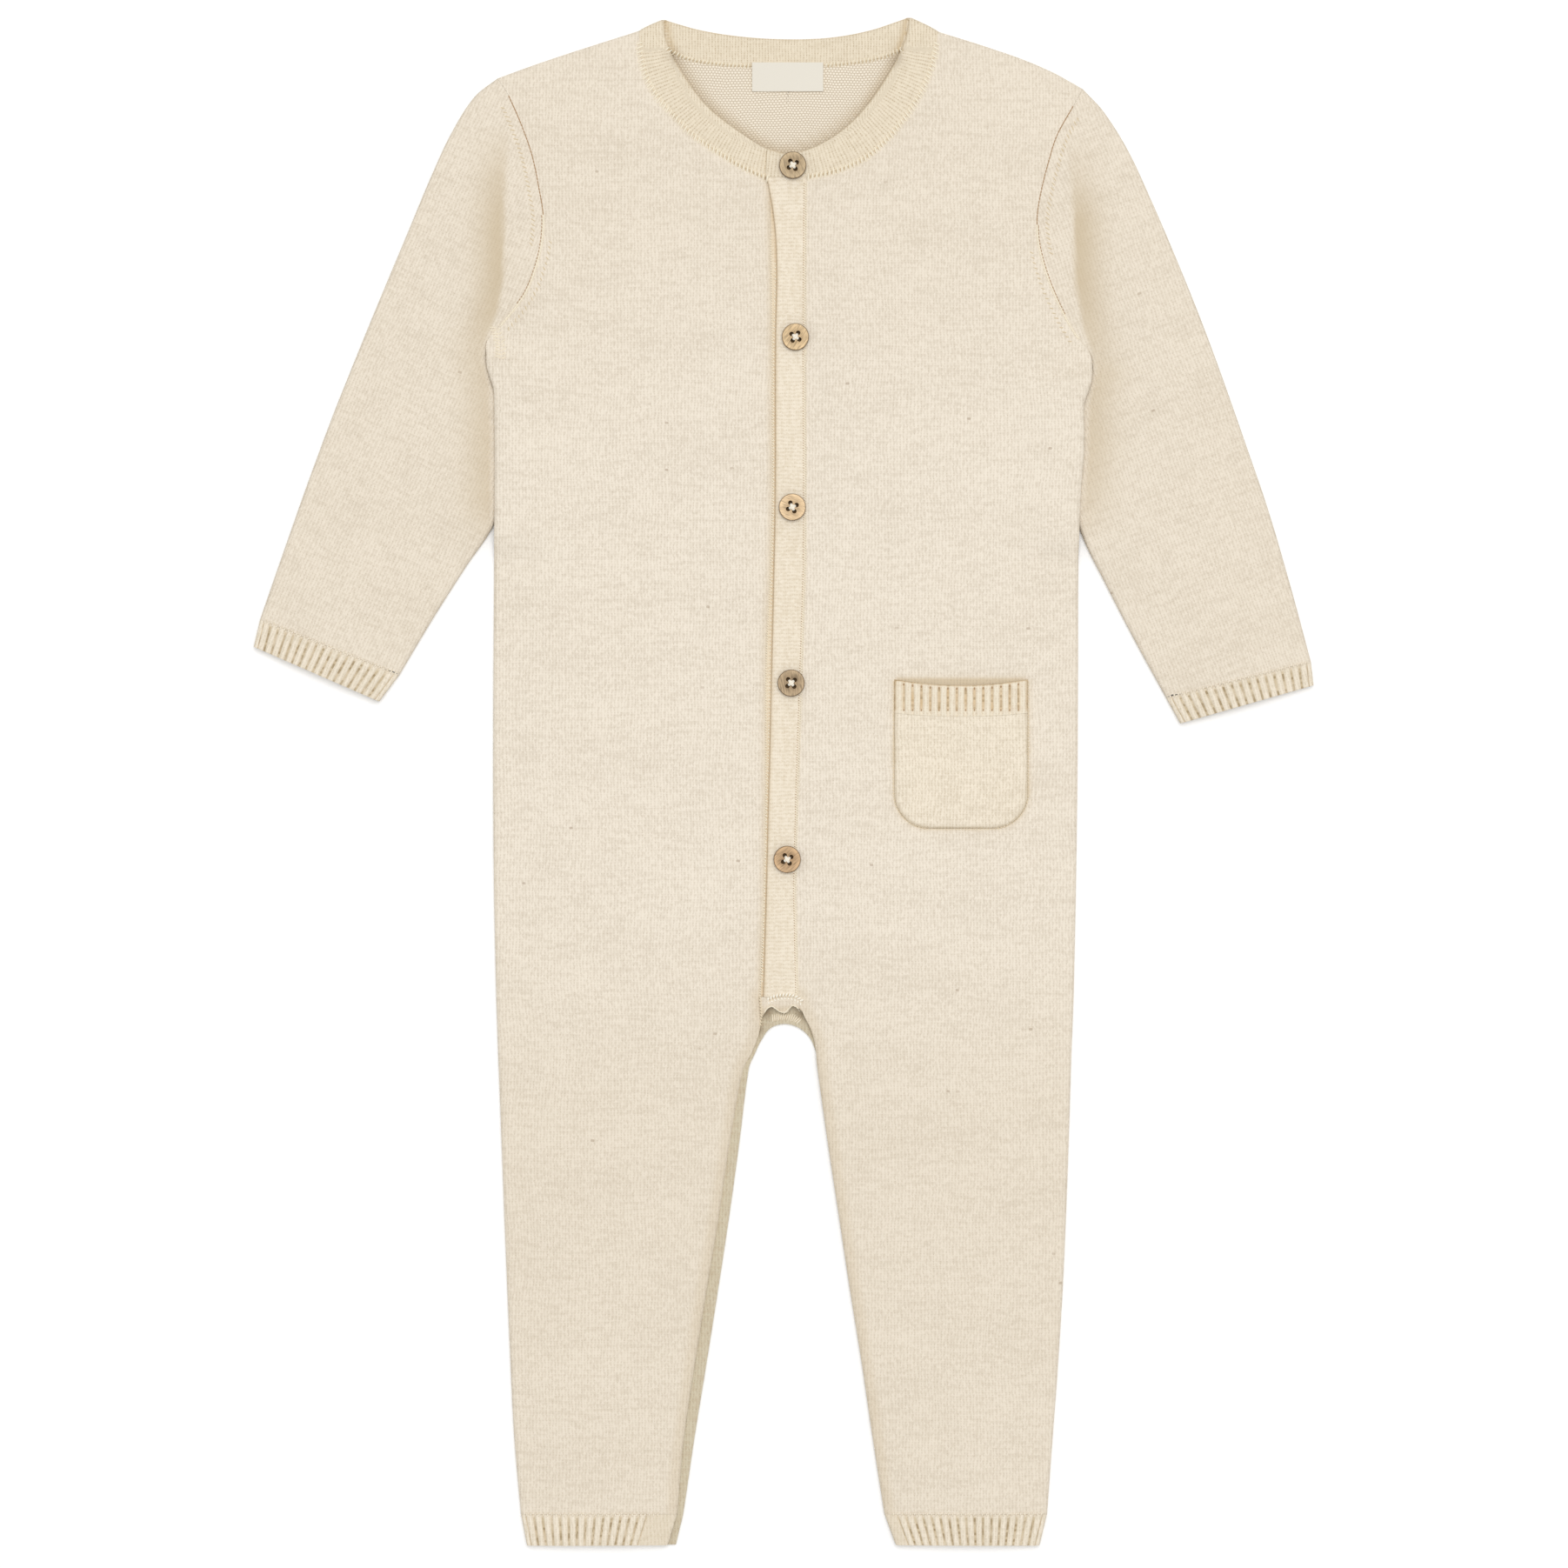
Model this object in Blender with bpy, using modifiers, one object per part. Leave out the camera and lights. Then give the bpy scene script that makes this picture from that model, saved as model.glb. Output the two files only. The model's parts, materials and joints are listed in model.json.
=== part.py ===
"""A knitted baby romper, laid flat on its back with the buttoned front upwards.

All tables are in millimetres, in the frame of the laid garment: +X to the wearer's left, +Y towards the
neck, +Z up from the surface that it lies on. The origin is under the middle of the whole outline.
Every cloth piece is a wall between an inner and an outer grid of points. Folded edges roll round a small
core, and seams are open by SEAM, so each piece that is cut and sewn on is a solid of its own.
"""

import math

import bmesh
import bpy
import numpy as np

MM = 0.001

# Cloth
CLOTH = 1.4  # jersey of the panels and sleeves
BAND = 1.6  # doubled knit of the neckband and the placket
SEAM = 0.3  # between two pieces that are sewn together
CORE = 0.25  # radius inside a folded edge
ROLL = CLOTH + CORE  # radius outside a folded edge

# Shape of the front over the back
PUFF = 2.0  # how far the front stands off the back in the middle of a wide stretch
PUFF_REACH = 30.0  # from a folded edge to where the front has its full height
OVERLAP = (BAND + SEAM) / 2  # half the step between the under and the over side of the front opening
OVERLAP_FLAT = 10.0  # to each side of the opening's middle, at the full step
OVERLAP_REACH = 36.0  # where the step has died out
TUCK_LIFT = 4.0  # the trunk's edge where it lies on the sleeve
TUCK_FLAT = 10.0  # from the trunk's edge, at the full lift
TUCK_REACH = 26.0  # where the trunk is back on the surface
TUCK_BOTTOM = 90.0  # height at which the lift starts
TUCK_BOTTOM_RAMP = 16.0
TUCK_TOP_CLEAR = 3.0  # from the underarm point down to where the lift has ended
TUCK_TOP_RAMP = 10.0
LEAST_LEVEL = CLOTH + SEAM  # the lowest underside of any front piece

# Ribs of the cuffs and the pocket's mouth
RIB_PITCH = 3.65
RIB_CREST = 0.25
RIB_GROOVE = -0.35
RIB_PROFILE = [  # share of a pitch, rise
    (0.10, RIB_GROOVE),
    (0.30, RIB_CREST),
    (0.70, RIB_CREST),
    (0.90, RIB_GROOVE),
]

# Faceting
CURL_STEPS = 2  # facets of a quarter roll
FRONT_SHARES = [0.09, 0.27, 0.5, 0.75, 0.92]
BACK_SHARES = [0.09, 0.24, 0.6]
SLEEVE_STATIONS = 11
CUFF_SHARES = [0.0, 1.0]

# Rows of points in each stretch of the trunk's outlines, bottom to top.
ROWS = {"leg": 6, "crotch": 4, "trunk": 4, "tuck": 6, "underarm": 4, "yoke": 6, "shoulder": 7}
OPENING = ("trunk", "tuck", "underarm", "yoke")  # the stretches along the front opening

FIRST_ROW = {name: sum(list(ROWS.values())[:i]) for i, name in enumerate(ROWS)}
ROW_COUNT = sum(ROWS.values()) + 1

# Side seams and armholes.
SIDE = {
    "right": {
        "leg": [(-111.4, -312.1), (-112.9, -296.9), (-116.9, -222.9), (-119.4, -160.0), (-121.0, -118.0)],
        "crotch": [(-121.0, -118.0), (-121.9, -92.0)],
        "trunk": [(-121.9, -92.0), (-122.8, -50.0), (-123.2, 0.0), (-122.8, 92.0)],
        "tuck": [(-122.8, 92.0), (-122.5, 120.0), (-122.5, 147.0), (-122.9, 166.0)],
        "underarm": [(-122.9, 166.0), (-124.0, 177.0), (-125.8, 187.0)],
        "yoke": [(-125.8, 187.0), (-118.0, 196.0), (-109.5, 207.0), (-104.7, 218.9), (-102.3, 229.6),
                 (-101.8, 240.0), (-103.6, 251.8)],
        "shoulder": [(-103.6, 251.8), (-106.6, 265.9), (-111.7, 280.3), (-116.6, 291.4), (-121.4, 298.8)],
    },
    "left": {
        "leg": [(112.5, -312.1), (113.6, -296.9), (118.8, -222.9), (121.5, -160.0), (122.8, -118.0)],
        "crotch": [(122.8, -118.0), (123.8, -92.0)],
        "trunk": [(123.8, -92.0), (124.7, -50.0), (125.4, 0.0), (125.8, 92.0)],
        "tuck": [(125.8, 92.0), (126.6, 120.0), (128.2, 139.0), (128.2, 160.0)],
        "underarm": [(128.2, 160.0), (129.4, 171.0), (131.0, 181.0)],
        "yoke": [(131.0, 181.0), (124.0, 190.5), (116.2, 205.0), (111.0, 218.9), (108.6, 229.2),
                 (108.2, 239.6), (110.0, 251.0)],
        "shoulder": [(110.0, 251.0), (112.9, 262.5), (116.2, 273.2), (123.6, 286.9), (127.7, 294.3)],
    },
}

# Inner edge of each front panel: inseam, crotch, placket seam, neckline.
FRONT_INNER = {
    "right": {
        "leg": [(-44.8, -312.1), (-44.0, -297.0), (-40.1, -267.0), (-33.3, -223.0), (-25.9, -178.5),
                (-18.9, -134.0), (-16.6, -123.0)],
        "crotch": [(-16.6, -123.0), (-11.8, -113.4), (-9.2, -103.7), (-9.0, -98.0), (-9.6, -92.0)],
        "trunk": [(-9.6, -92.0), (-7.8, -50.0), (-7.1, -10.0), (-7.0, 30.0), (-6.8, 64.0), (-5.0, 92.0)],
        "tuck": [(-5.0, 92.0), (-4.3, 120.0), (-4.4, 162.0)],
        "underarm": [(-4.4, 162.0), (-4.4, 182.0)],
        "yoke": [(-4.4, 182.0), (-5.0, 228.0), (-5.6, 255.6)],
        "shoulder": [(-5.6, 255.6), (-17.9, 261.4), (-28.3, 267.7), (-37.7, 274.0), (-45.9, 282.1),
                     (-53.3, 290.6), (-58.5, 299.9), (-60.5, 309.1), (-61.1, 319.1)],
    },
    "left": {
        "leg": [(43.3, -312.1), (40.7, -297.0), (36.6, -267.0), (29.6, -223.0), (22.9, -178.5),
                (16.3, -134.0), (14.6, -121.0)],
        "crotch": [(14.6, -121.0), (13.2, -110.0), (10.6, -103.0), (8.2, -98.0), (6.4, -92.0)],
        "trunk": [(6.4, -92.0), (5.4, -50.0), (6.4, -10.0), (7.2, 30.0), (9.1, 64.0), (9.6, 92.0)],
        "tuck": [(9.6, 92.0), (9.7, 120.0), (9.5, 162.0)],
        "underarm": [(9.5, 162.0), (9.5, 182.0)],
        "yoke": [(9.5, 182.0), (9.7, 228.0), (9.9, 256.4)],
        "shoulder": [(9.9, 256.4), (24.6, 259.8), (36.1, 265.5), (45.5, 274.0), (53.7, 284.3),
                     (59.9, 294.7), (64.0, 306.2), (66.2, 318.8)],
    },
}

# Free edge of the band that runs down both inner legs and round the crotch, on the back's side.
INSEAM_FREE = {
    "right": {
        "hem": [(-45.5, -325.2), (-42.4, -312.1)],
        "leg": [(-42.4, -312.1), (-40.3, -297.0), (-35.5, -267.0), (-28.5, -223.0), (-21.8, -178.5),
                (-17.8, -149.0), (-15.7, -134.0), (-14.4, -122.4)],
        "crotch": [(-14.4, -122.4), (-10.5, -113.4), (-6.3, -106.4), (-2.8, -103.9), (1.0, -103.6)],
    },
    "left": {
        "hem": [(49.0, -325.2), (44.0, -312.1)],
        "leg": [(44.0, -312.1), (41.4, -297.0), (37.3, -267.0), (30.3, -223.0), (23.6, -178.5),
                (17.0, -134.0), (15.0, -121.0)],
        "crotch": [(15.0, -121.0), (12.4, -110.8), (8.4, -106.2), (4.6, -104.3), (1.0, -103.6)],
    },
}
CROTCH_MIDDLE = (2.0, -93.4)  # top of the band at the middle of the back
BACK_NECK_MIDDLE = (2.0, 304.1)

# The band's outer edge, where the back panel's legs begin.
BACK_INNER = {
    "right": {
        "leg": [(-52.7, -312.1), (-50.6, -297.0), (-45.8, -267.0), (-38.8, -223.0), (-32.2, -178.5),
                (-26.6, -138.0), (-23.6, -118.0)],
        "crotch": [(-23.6, -118.0), (-18.9, -107.0), (-11.5, -97.6), (-4.6, -93.8), CROTCH_MIDDLE],
        "neck": [BACK_NECK_MIDDLE, (-27.4, 304.9), (-42.9, 307.9), (-52.5, 313.0), (-61.1, 319.1)],
    },
    "left": {
        "leg": [(52.2, -312.1), (49.5, -297.0), (45.4, -267.0), (38.4, -223.0), (31.8, -178.5),
                (25.6, -138.0), (23.4, -121.0)],
        "crotch": [(23.4, -121.0), (21.2, -106.5), (15.5, -98.2), (9.0, -94.8), CROTCH_MIDDLE],
        "neck": [BACK_NECK_MIDDLE, (25.0, 304.9), (42.2, 307.9), (55.0, 313.0), (66.2, 318.8)],
    },
}

# Sleeve outlines from the cuff to the armhole. The upper part of the inner edge lies under the trunk.
SLEEVE = {
    "right": {
        "top": [(-222.4, 68.6), (-210.5, 102.7), (-194.6, 147.1), (-176.9, 191.5), (-158.4, 235.9),
                (-145.8, 265.5), (-138.4, 280.3), (-130.5, 291.7), (-121.4, 298.8)],
        "under": [(-163.2, 45.0), (-155.8, 58.3), (-146.2, 73.1), (-136.9, 87.9), (-127.6, 102.0),
                  (-121.4, 112.0), (-118.6, 122.0), (-117.9, 138.0), (-119.0, 155.0), (-123.9, 170.0),
                  (-126.4, 180.0), (-125.8, 187.0)],
        "hem": [(-225.1, 56.9), (-171.7, 33.6)],
    },
    "left": {
        "top": [(224.8, 50.5), (218.7, 73.1), (210.5, 102.7), (195.7, 147.1), (176.9, 198.9),
                (158.4, 243.3), (148.4, 265.5), (139.5, 280.3), (134.3, 287.7), (127.7, 294.3)],
        "under": [(163.2, 35.3), (158.4, 43.5), (150.6, 58.3), (142.8, 73.1), (135.4, 87.9),
                  (129.0, 101.0), (124.4, 111.0), (122.2, 122.0), (122.4, 136.0), (124.4, 152.0),
                  (129.4, 165.0), (131.8, 174.0), (131.0, 181.0)],
        "hem": [(225.9, 40.5), (169.2, 24.3)],
    },
}
SHOULDER_BOW = {"right": 0.5, "left": 2.3}  # how far the shoulder's fold bulges over a straight line
SHOULDER_BOW_SKEW = 1.4  # puts the bulge nearer the sleeve
SLEEVE_ARMHOLE_REACH = 0.55  # share of the sleeve, from the armhole, over which the armhole's curve dies out
SLEEVE_LENGTH = 200.0
SHOULDER_CROWDING = 1.3  # how much closer together the stations are near the shoulder than at the cuff
UNDERARM_CROWDING = 1.9  # the same, under the arm
UNDERARM_STEP = 5.0  # from the under fold to the next column at the armhole
UNDERARM_FAN = 14.0  # along the under fold, over which the stations turn from the armhole's line to square

# Leg hems: outer corner, then the front's inner corner.
LEG_HEM = {
    "right": [(-108.8, -325.4), (-48.8, -325.2)],
    "left": [(109.2, -325.4), (48.1, -325.2)],
}
LEG_RIB_END = 14.0  # plain knit beside the inseam

# Neckband: its opening edge from the end at the front up to the shoulder, and the part of its seam edge that
# crosses the placket. The rest of its seam edge is the neckline of the panels.
NECK_FRONT = {
    "right": {
        "opening": [(9.0, 267.7), (1.9, 266.4), (-3.3, 267.2), (-11.8, 271.8), (-22.2, 278.6),
                    (-32.6, 287.3), (-39.6, 296.2), (-46.8, 308.2), (-50.0, 316.5), (-50.9, 324.0)],
        "end": [(8.8, 256.0), (-5.6, 255.6)],
    },
    "left": {
        "opening": [(-6.6, 268.6), (-1.0, 266.6), (5.0, 266.8), (14.2, 269.8), (24.6, 276.0),
                    (35.2, 286.4), (43.3, 297.7), (49.6, 309.1), (53.0, 318.0), (54.0, 325.0)],
        "end": [(-7.0, 256.4), (9.9, 256.4)],
    },
}
NECK_BACK = [(-50.9, 324.0), (-37.0, 319.9), (-19.2, 316.9), (0.0, 315.6), (22.2, 316.5), (37.0, 319.3),
             (54.0, 325.0)]

PLACKET_FREE_EDGE = [(-8.2, -92.0), (-7.0, -50.0), (-6.0, -10.0), (-5.0, 30.0), (-4.4, 64.0), (-3.3, 110.0),
                     (-3.0, 190.0), (-1.8, 228.0), (-3.4, 255.6)]  # of the top band
CROTCH_TAB = [  # x, lower edge, how far that edge stands off
    (-8.6, -99.0, 0.0),
    (-6.6, -97.4, 0.5),
    (-4.2, -96.1, 0.9),
    (-1.9, -97.0, 0.4),
    (0.0, -98.1, 0.0),
    (2.0, -96.9, 0.4),
    (4.4, -95.5, 0.9),
    (6.2, -96.6, 0.5),
]
CROTCH_TAB_TOP = -92.4

# Soft hollows pressed into the front: line, depth, half width.
TROUGHS = [
    ([(-117.0, 266.0), (-117.7, 236.0), (-119.0, 214.0), (-123.5, 194.0)], 1.7, 7.0),
    ([(124.5, 262.0), (124.3, 240.0), (124.6, 222.0), (128.5, 190.0)], 1.8, 6.5),
]

POCKET = {"left": 47.4, "right": 104.2, "bottom": -20.3, "seam": 28.6, "top": 43.0, "corner": 15.0,
          "sag": 2.6, "crown": 0.4, "gape": 0.9, "margin": 4.0, "thickness": 1.4}
POCKET_CORNER_SHARES = [0.02, 0.12, 0.35, 0.65, 1.0]  # rows up the round corners

BUTTONS = [(4.3, 261.3), (5.4, 188.4), (4.1, 116.1), (3.6, 41.4), (1.9, -33.5)]
BUTTON_TURNS = [-12.0, 10.0, -20.0, -5.0, -14.0]  # degrees
BUTTON = {"radius": 5.75, "height": 2.4, "edge": 0.6, "hole_radius": 0.65, "hole_offset": 1.4, "sides": 24,
          "hole_sides": 8}

LABEL = {"left": -13.0, "right": 17.2, "bottom": 293.3, "top": 305.6, "thickness": 1.0, "dip": 0.2}

COLOURS = {  # base colour, roughness
    "oatmeal_jersey": ((0.79, 0.73, 0.62, 1.0), 0.9),
    "cream_rib": ((0.78, 0.70, 0.55, 1.0), 0.9),
    "label_satin": ((0.83, 0.79, 0.70, 1.0), 0.7),
    "wood": ((0.55, 0.39, 0.23, 1.0), 0.5),
}


def smooth_line(points, count):
    """count points at equal distances along a smooth curve through the given ones."""
    p = np.array(points, float)
    step = np.linalg.norm(np.diff(p, axis=0), axis=1)
    slope = np.diff(p, axis=0) / step[:, None]
    weight = (step[1:] + step[:-1])[:, None]
    middle = (slope[:-1] * step[1:, None] + slope[1:] * step[:-1, None]) / weight
    tangent = np.vstack([slope[:1], middle, slope[-1:]])
    spans = []
    for i, length in enumerate(step):
        t = np.linspace(0, 1, 24, endpoint=False)[:, None]
        spans.append(
            p[i] * (2 * t**3 - 3 * t**2 + 1)
            + p[i + 1] * (3 * t**2 - 2 * t**3)
            + length * (tangent[i] * (t**3 - 2 * t**2 + t) + tangent[i + 1] * (t**3 - t**2))
        )
    fine = np.vstack([*spans, p[-1:]])
    along = np.concatenate(([0], np.cumsum(np.linalg.norm(np.diff(fine, axis=0), axis=1))))
    wanted = np.linspace(0, along[-1], count)
    return np.column_stack([np.interp(wanted, along, fine[:, k]) for k in range(fine.shape[1])])


def rail(stretches):
    """One line through several stretches, each a (points, rows) pair that starts where the last one ended."""
    parts = [smooth_line(points, rows + 1) for points, rows in stretches]
    return np.vstack([parts[0]] + [part[1:] for part in parts[1:]])


def distance_to(lines, x, y):
    """Shortest distance from each point to any of the lines."""
    points = np.stack([np.ravel(x), np.ravel(y)], axis=1)[:, None, :]
    best = np.full(points.shape[0], 1e9)
    for line in lines:
        a = np.array(line[:-1], float)
        along = np.diff(np.array(line, float), axis=0)
        a, along = a[along.any(axis=1)], along[along.any(axis=1)]
        t = np.sum((points - a) * along, axis=2) / np.sum(along * along, axis=1)
        nearest = a + np.clip(t, 0, 1)[..., None] * along
        best = np.minimum(best, np.linalg.norm(points - nearest, axis=2).min(axis=1))
    return best.reshape(np.shape(x))


def smoothstep(t):
    """0 below 0, 1 above 1, and a soft rise between."""
    t = np.clip(t, 0, 1)
    return t * t * (3 - 2 * t)


def side_line(side, first, last):
    """The outline of one side of the trunk as a plain list of points."""
    names = list(SIDE[side])
    wanted = names[names.index(first) : names.index(last) + 1]
    return [point for name in wanted for point in SIDE[side][name]]


def fold_lines(sleeve):
    """Folded edges that the front's height starts from: those of the trunk and legs, or of the sleeves."""
    lines = []
    for side in SIDE:
        shoulder_end = SIDE[side]["shoulder"][-1]
        neck_end = FRONT_INNER[side]["shoulder"][-1]
        lines.append([shoulder_end, neck_end, NECK_FRONT[side]["opening"][-1]])
        lines.append(SLEEVE[side]["top"])
        if sleeve:
            lines.append(SLEEVE[side]["under"])
        else:
            lines.append(side_line(side, "leg", "underarm"))
            lines.append(FRONT_INNER[side]["leg"] + FRONT_INNER[side]["crotch"][:3])
    return lines


TRUNK_FOLDS = fold_lines(sleeve=False)
SLEEVE_FOLDS = fold_lines(sleeve=True)


def trough_depth(x, y):
    """How far the soft hollows press the front down at each point."""
    depth = np.zeros(np.shape(x))
    for line, deep, half_width in TROUGHS:
        away = distance_to([smooth_line(line, 12)], x, y)
        depth = np.maximum(depth, deep * np.exp(-((away / half_width) ** 2)))
    return depth


def front_level(x, y, sleeve=False):
    """Height of the underside of the front cloth."""
    away = distance_to(SLEEVE_FOLDS if sleeve else TRUNK_FOLDS, x, y)
    puff = PUFF * smoothstep(away / PUFF_REACH) - trough_depth(x, y)
    return ROLL + CORE + np.maximum(puff, 0)


def placket_middle(y):
    """x of the middle of the front opening at each height."""
    edges = []
    for side in SIDE:
        line = np.array([point for name in OPENING for point in FRONT_INNER[side][name]])
        edges.append(np.interp(y, line[:, 1], line[:, 0]))
    return (edges[0] + edges[1]) / 2


def placket_share(x, y):
    """1 at the front opening, 0 well away from it."""
    away = np.abs(x - placket_middle(y))
    return 1 - smoothstep((away - OVERLAP_FLAT) / (OVERLAP_REACH - OVERLAP_FLAT))


def under_level(x, y):
    """Height of the underside of the front on the side that lies under at the opening."""
    return np.maximum(front_level(x, y) - OVERLAP * placket_share(x, y), LEAST_LEVEL)


def over_level(x, y):
    """Height of the underside of the front on the side that lies over."""
    share = placket_share(x, y)
    return np.maximum(front_level(x, y) + OVERLAP * share, under_level(x, y) + 2 * OVERLAP * share)


def tuck_lift(x, y):
    """How far the trunk is raised where its edge lies on the sleeve."""
    lift = np.zeros(np.shape(x))
    for side in SIDE:
        line = np.array(side_line(side, "trunk", "underarm"))
        inwards = np.abs(np.interp(y, line[:, 1], line[:, 0])) - np.abs(x)
        across = 1 - smoothstep((inwards - TUCK_FLAT) / (TUCK_REACH - TUCK_FLAT))
        top = SIDE[side]["underarm"][-1][1] - TUCK_TOP_CLEAR
        along = smoothstep((top - y) / TUCK_TOP_RAMP) * smoothstep((y - TUCK_BOTTOM) / TUCK_BOTTOM_RAMP)
        same_side = np.sign(x) == np.sign(line[0, 0])
        lift = np.maximum(lift, TUCK_LIFT * across * along * same_side)
    return lift


def edge_columns(curl):
    """Columns from a panel's edge inwards: distance, sink and lean. curl is 1 on a fold, 0 on a cut edge."""
    columns = []
    for k in range(CURL_STEPS + 1):
        share = 1 - k / CURL_STEPS
        lean = curl * share * math.pi / 2
        reach = ROLL - SEAM / 2 - CLOTH * math.sin(lean)
        distance = ROLL - CORE * math.sin(lean) - (1 - curl) * share * reach
        sink = CORE * (1 - math.cos(lean)) - SEAM / 2 * math.sin(lean)
        columns.append((distance, sink, lean))
    return columns


def panel(side, inner, inner_curl, level, face):
    """Inner and outer grids of a panel from the side's rail to an inner rail, whose last row rolls over the
    shoulder. face is 1 for the front, -1 for the back."""
    outer, outer_curl = start_gap(side_rail(side)), side_curl()
    flat, walls = [], []
    for a, b, curl_a, curl_b in zip(outer, inner, outer_curl, inner_curl):
        width = np.linalg.norm(b - a)
        across = (b - a) / width
        start = [(d, sink, -lean) for d, sink, lean in edge_columns(curl_a)]
        end = [(width - d, sink, lean) for d, sink, lean in edge_columns(curl_b)]
        middle = [(share * width, 0.0, 0.0) for share in (FRONT_SHARES if face > 0 else BACK_SHARES)]
        columns = start + middle + end[::-1]
        flat.append([(*(a + across * d), sink) for d, sink, _ in columns])
        walls.append([(*(across * math.sin(lean)), math.cos(lean)) for _, _, lean in columns])
    flat, walls = roll_last_row(np.array(flat), np.array(walls), SHOULDER_BOW[side])
    base = level(flat[..., 0], flat[..., 1])
    inner_grid = flat.copy()
    inner_grid[..., 2] = base - face * flat[..., 2]
    outward = walls * np.array([1, 1, face])
    return inner_grid, inner_grid + CLOTH * outward


def along_to_fold(direction, out):
    """direction stretched so that it covers one unit towards a fold whose outward direction is out."""
    direction = np.array(direction, float)
    return direction / np.sum(direction * out, axis=-1, keepdims=True)


def fold_out(line):
    """The direction square to a line's chord, towards the neck."""
    chord = line[-1] - line[0]
    out = unit(np.array([-chord[1], chord[0]]))
    return out if out[1] > 0 else -out


def roll_last_row(flat, walls, bow):
    """Replaces the last row with rows that roll over the shoulder, which bulges by bow near its outer end."""
    edge = flat[-1].copy()
    out = fold_out(edge[:, :2])
    run = along_to_fold(edge[:, :2] - flat[-2][:, :2], out)
    from_neck = np.linalg.norm(edge[:, :2] - edge[-1, :2], axis=1)
    bulge = bow * np.sin(math.pi * (from_neck / from_neck[0]) ** SHOULDER_BOW_SKEW)
    edge[:, :2] += out * bulge[:, None]
    rows, leans = [], []
    for distance, sink, lean in edge_columns(1.0)[::-1]:
        rows.append(np.column_stack([edge[:, :2] - run * distance, np.full(len(run), sink)]))
        leans.append(np.column_stack([run * math.sin(lean), np.full(len(run), math.cos(lean))]))
    return np.vstack([flat[:-1], np.array(rows)]), np.vstack([walls[:-1], np.array(leans)])


def add_wall(bm, inner, outer, ring=False, joined_rows=None):
    """Adds the wall between two grids to bm. ring closes the columns. joined_rows is a (first, last) pair of
    rows whose end column has no rim, because another half is merged there."""
    rows, columns = inner.shape[:2]
    grids = []
    for grid in (inner, outer):
        grids.append([[bm.verts.new(point * MM) for point in row] for row in grid])
    low, high = grids
    last = columns if ring else columns - 1
    for i in range(rows - 1):
        for j in range(last):
            k = (j + 1) % columns
            bm.faces.new([high[i][j], high[i][k], high[i + 1][k], high[i + 1][j]])
            bm.faces.new([low[i][j], low[i + 1][j], low[i + 1][k], low[i][k]])
    for j in range(last):
        k = (j + 1) % columns
        bm.faces.new([low[0][j], low[0][k], high[0][k], high[0][j]])
        bm.faces.new([low[-1][j], high[-1][j], high[-1][k], low[-1][k]])
    if ring:
        return
    for i in range(rows - 1):
        bm.faces.new([low[i][0], high[i][0], high[i + 1][0], low[i + 1][0]])
        if joined_rows is None or not joined_rows[0] <= i < joined_rows[1]:
            bm.faces.new([low[i][-1], low[i + 1][-1], high[i + 1][-1], high[i][-1]])


def finish(name, bm, material):
    """Turns bm into a named object in the romper's collection, with its faces pointing out."""
    bmesh.ops.remove_doubles(bm, verts=bm.verts, dist=1e-6)
    bmesh.ops.recalc_face_normals(bm, faces=bm.faces)
    mesh = bpy.data.meshes.new(name)
    bm.to_mesh(mesh)
    bm.free()
    mesh.shade_smooth()
    mesh.set_sharp_from_angle(angle=math.radians(40))
    mesh.materials.append(material)
    obj = bpy.data.objects.new(name, mesh)
    ROMPER.objects.link(obj)
    return obj


def cloth_piece(name, inner, outer, material, ring=False):
    """A wall between two grids as an object."""
    bm = bmesh.new()
    add_wall(bm, inner, outer, ring)
    return finish(name, bm, material)


def side_rail(side):
    """The outer rail of a panel."""
    return rail([(SIDE[side][name], rows) for name, rows in ROWS.items()])


def front_inner_rail(side):
    """The inner rail of a front panel."""
    return rail([(FRONT_INNER[side][name], rows) for name, rows in ROWS.items()])


def side_curl():
    """Curl of the outer edge: a fold up to just under the arm, then the cut edge of the armhole."""
    curl = np.zeros(ROW_COUNT)
    curl[: FIRST_ROW["yoke"] - 1] = 1
    curl[FIRST_ROW["yoke"] - 1] = 0.5
    return curl


def start_gap(line):
    """Moves a rail's first point off the cuff's seam."""
    moved = line.copy()
    moved[0, 1] += SEAM / 2
    return moved


def build_front(side, level, material):
    """One front panel, from the ankle to the shoulder."""
    inner = start_gap(front_inner_rail(side))
    inner_curl = np.zeros(ROW_COUNT)
    inner_curl[: FIRST_ROW["crotch"] + 2] = 1
    inner_curl[FIRST_ROW["crotch"] + 2] = 0.5
    grids = panel(side, inner, inner_curl, lambda x, y: level(x, y) + tuck_lift(x, y), face=1)
    return cloth_piece(f"front_{side}", *grids, material)


def build_back(material):
    """The back in one piece: two halves that are merged down the middle."""
    bm = bmesh.new()
    for side in SIDE:
        inner = start_gap(rail([
            (BACK_INNER[side]["leg"], ROWS["leg"]),
            (BACK_INNER[side]["crotch"], ROWS["crotch"]),
            ([CROTCH_MIDDLE, BACK_NECK_MIDDLE], sum(ROWS[name] for name in OPENING)),
            (BACK_INNER[side]["neck"], ROWS["shoulder"]),
        ]))
        joined = (FIRST_ROW["trunk"], FIRST_ROW["shoulder"])
        grids = panel(side, inner, np.zeros(ROW_COUNT), lambda x, y: CLOTH + tuck_lift(x, y), face=-1)
        for grid in grids:
            grid[joined[0] : joined[1] + 1, -1, :2] = inner[joined[0] : joined[1] + 1]
        add_wall(bm, *grids, joined_rows=joined)
    return finish("back", bm, material)


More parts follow.
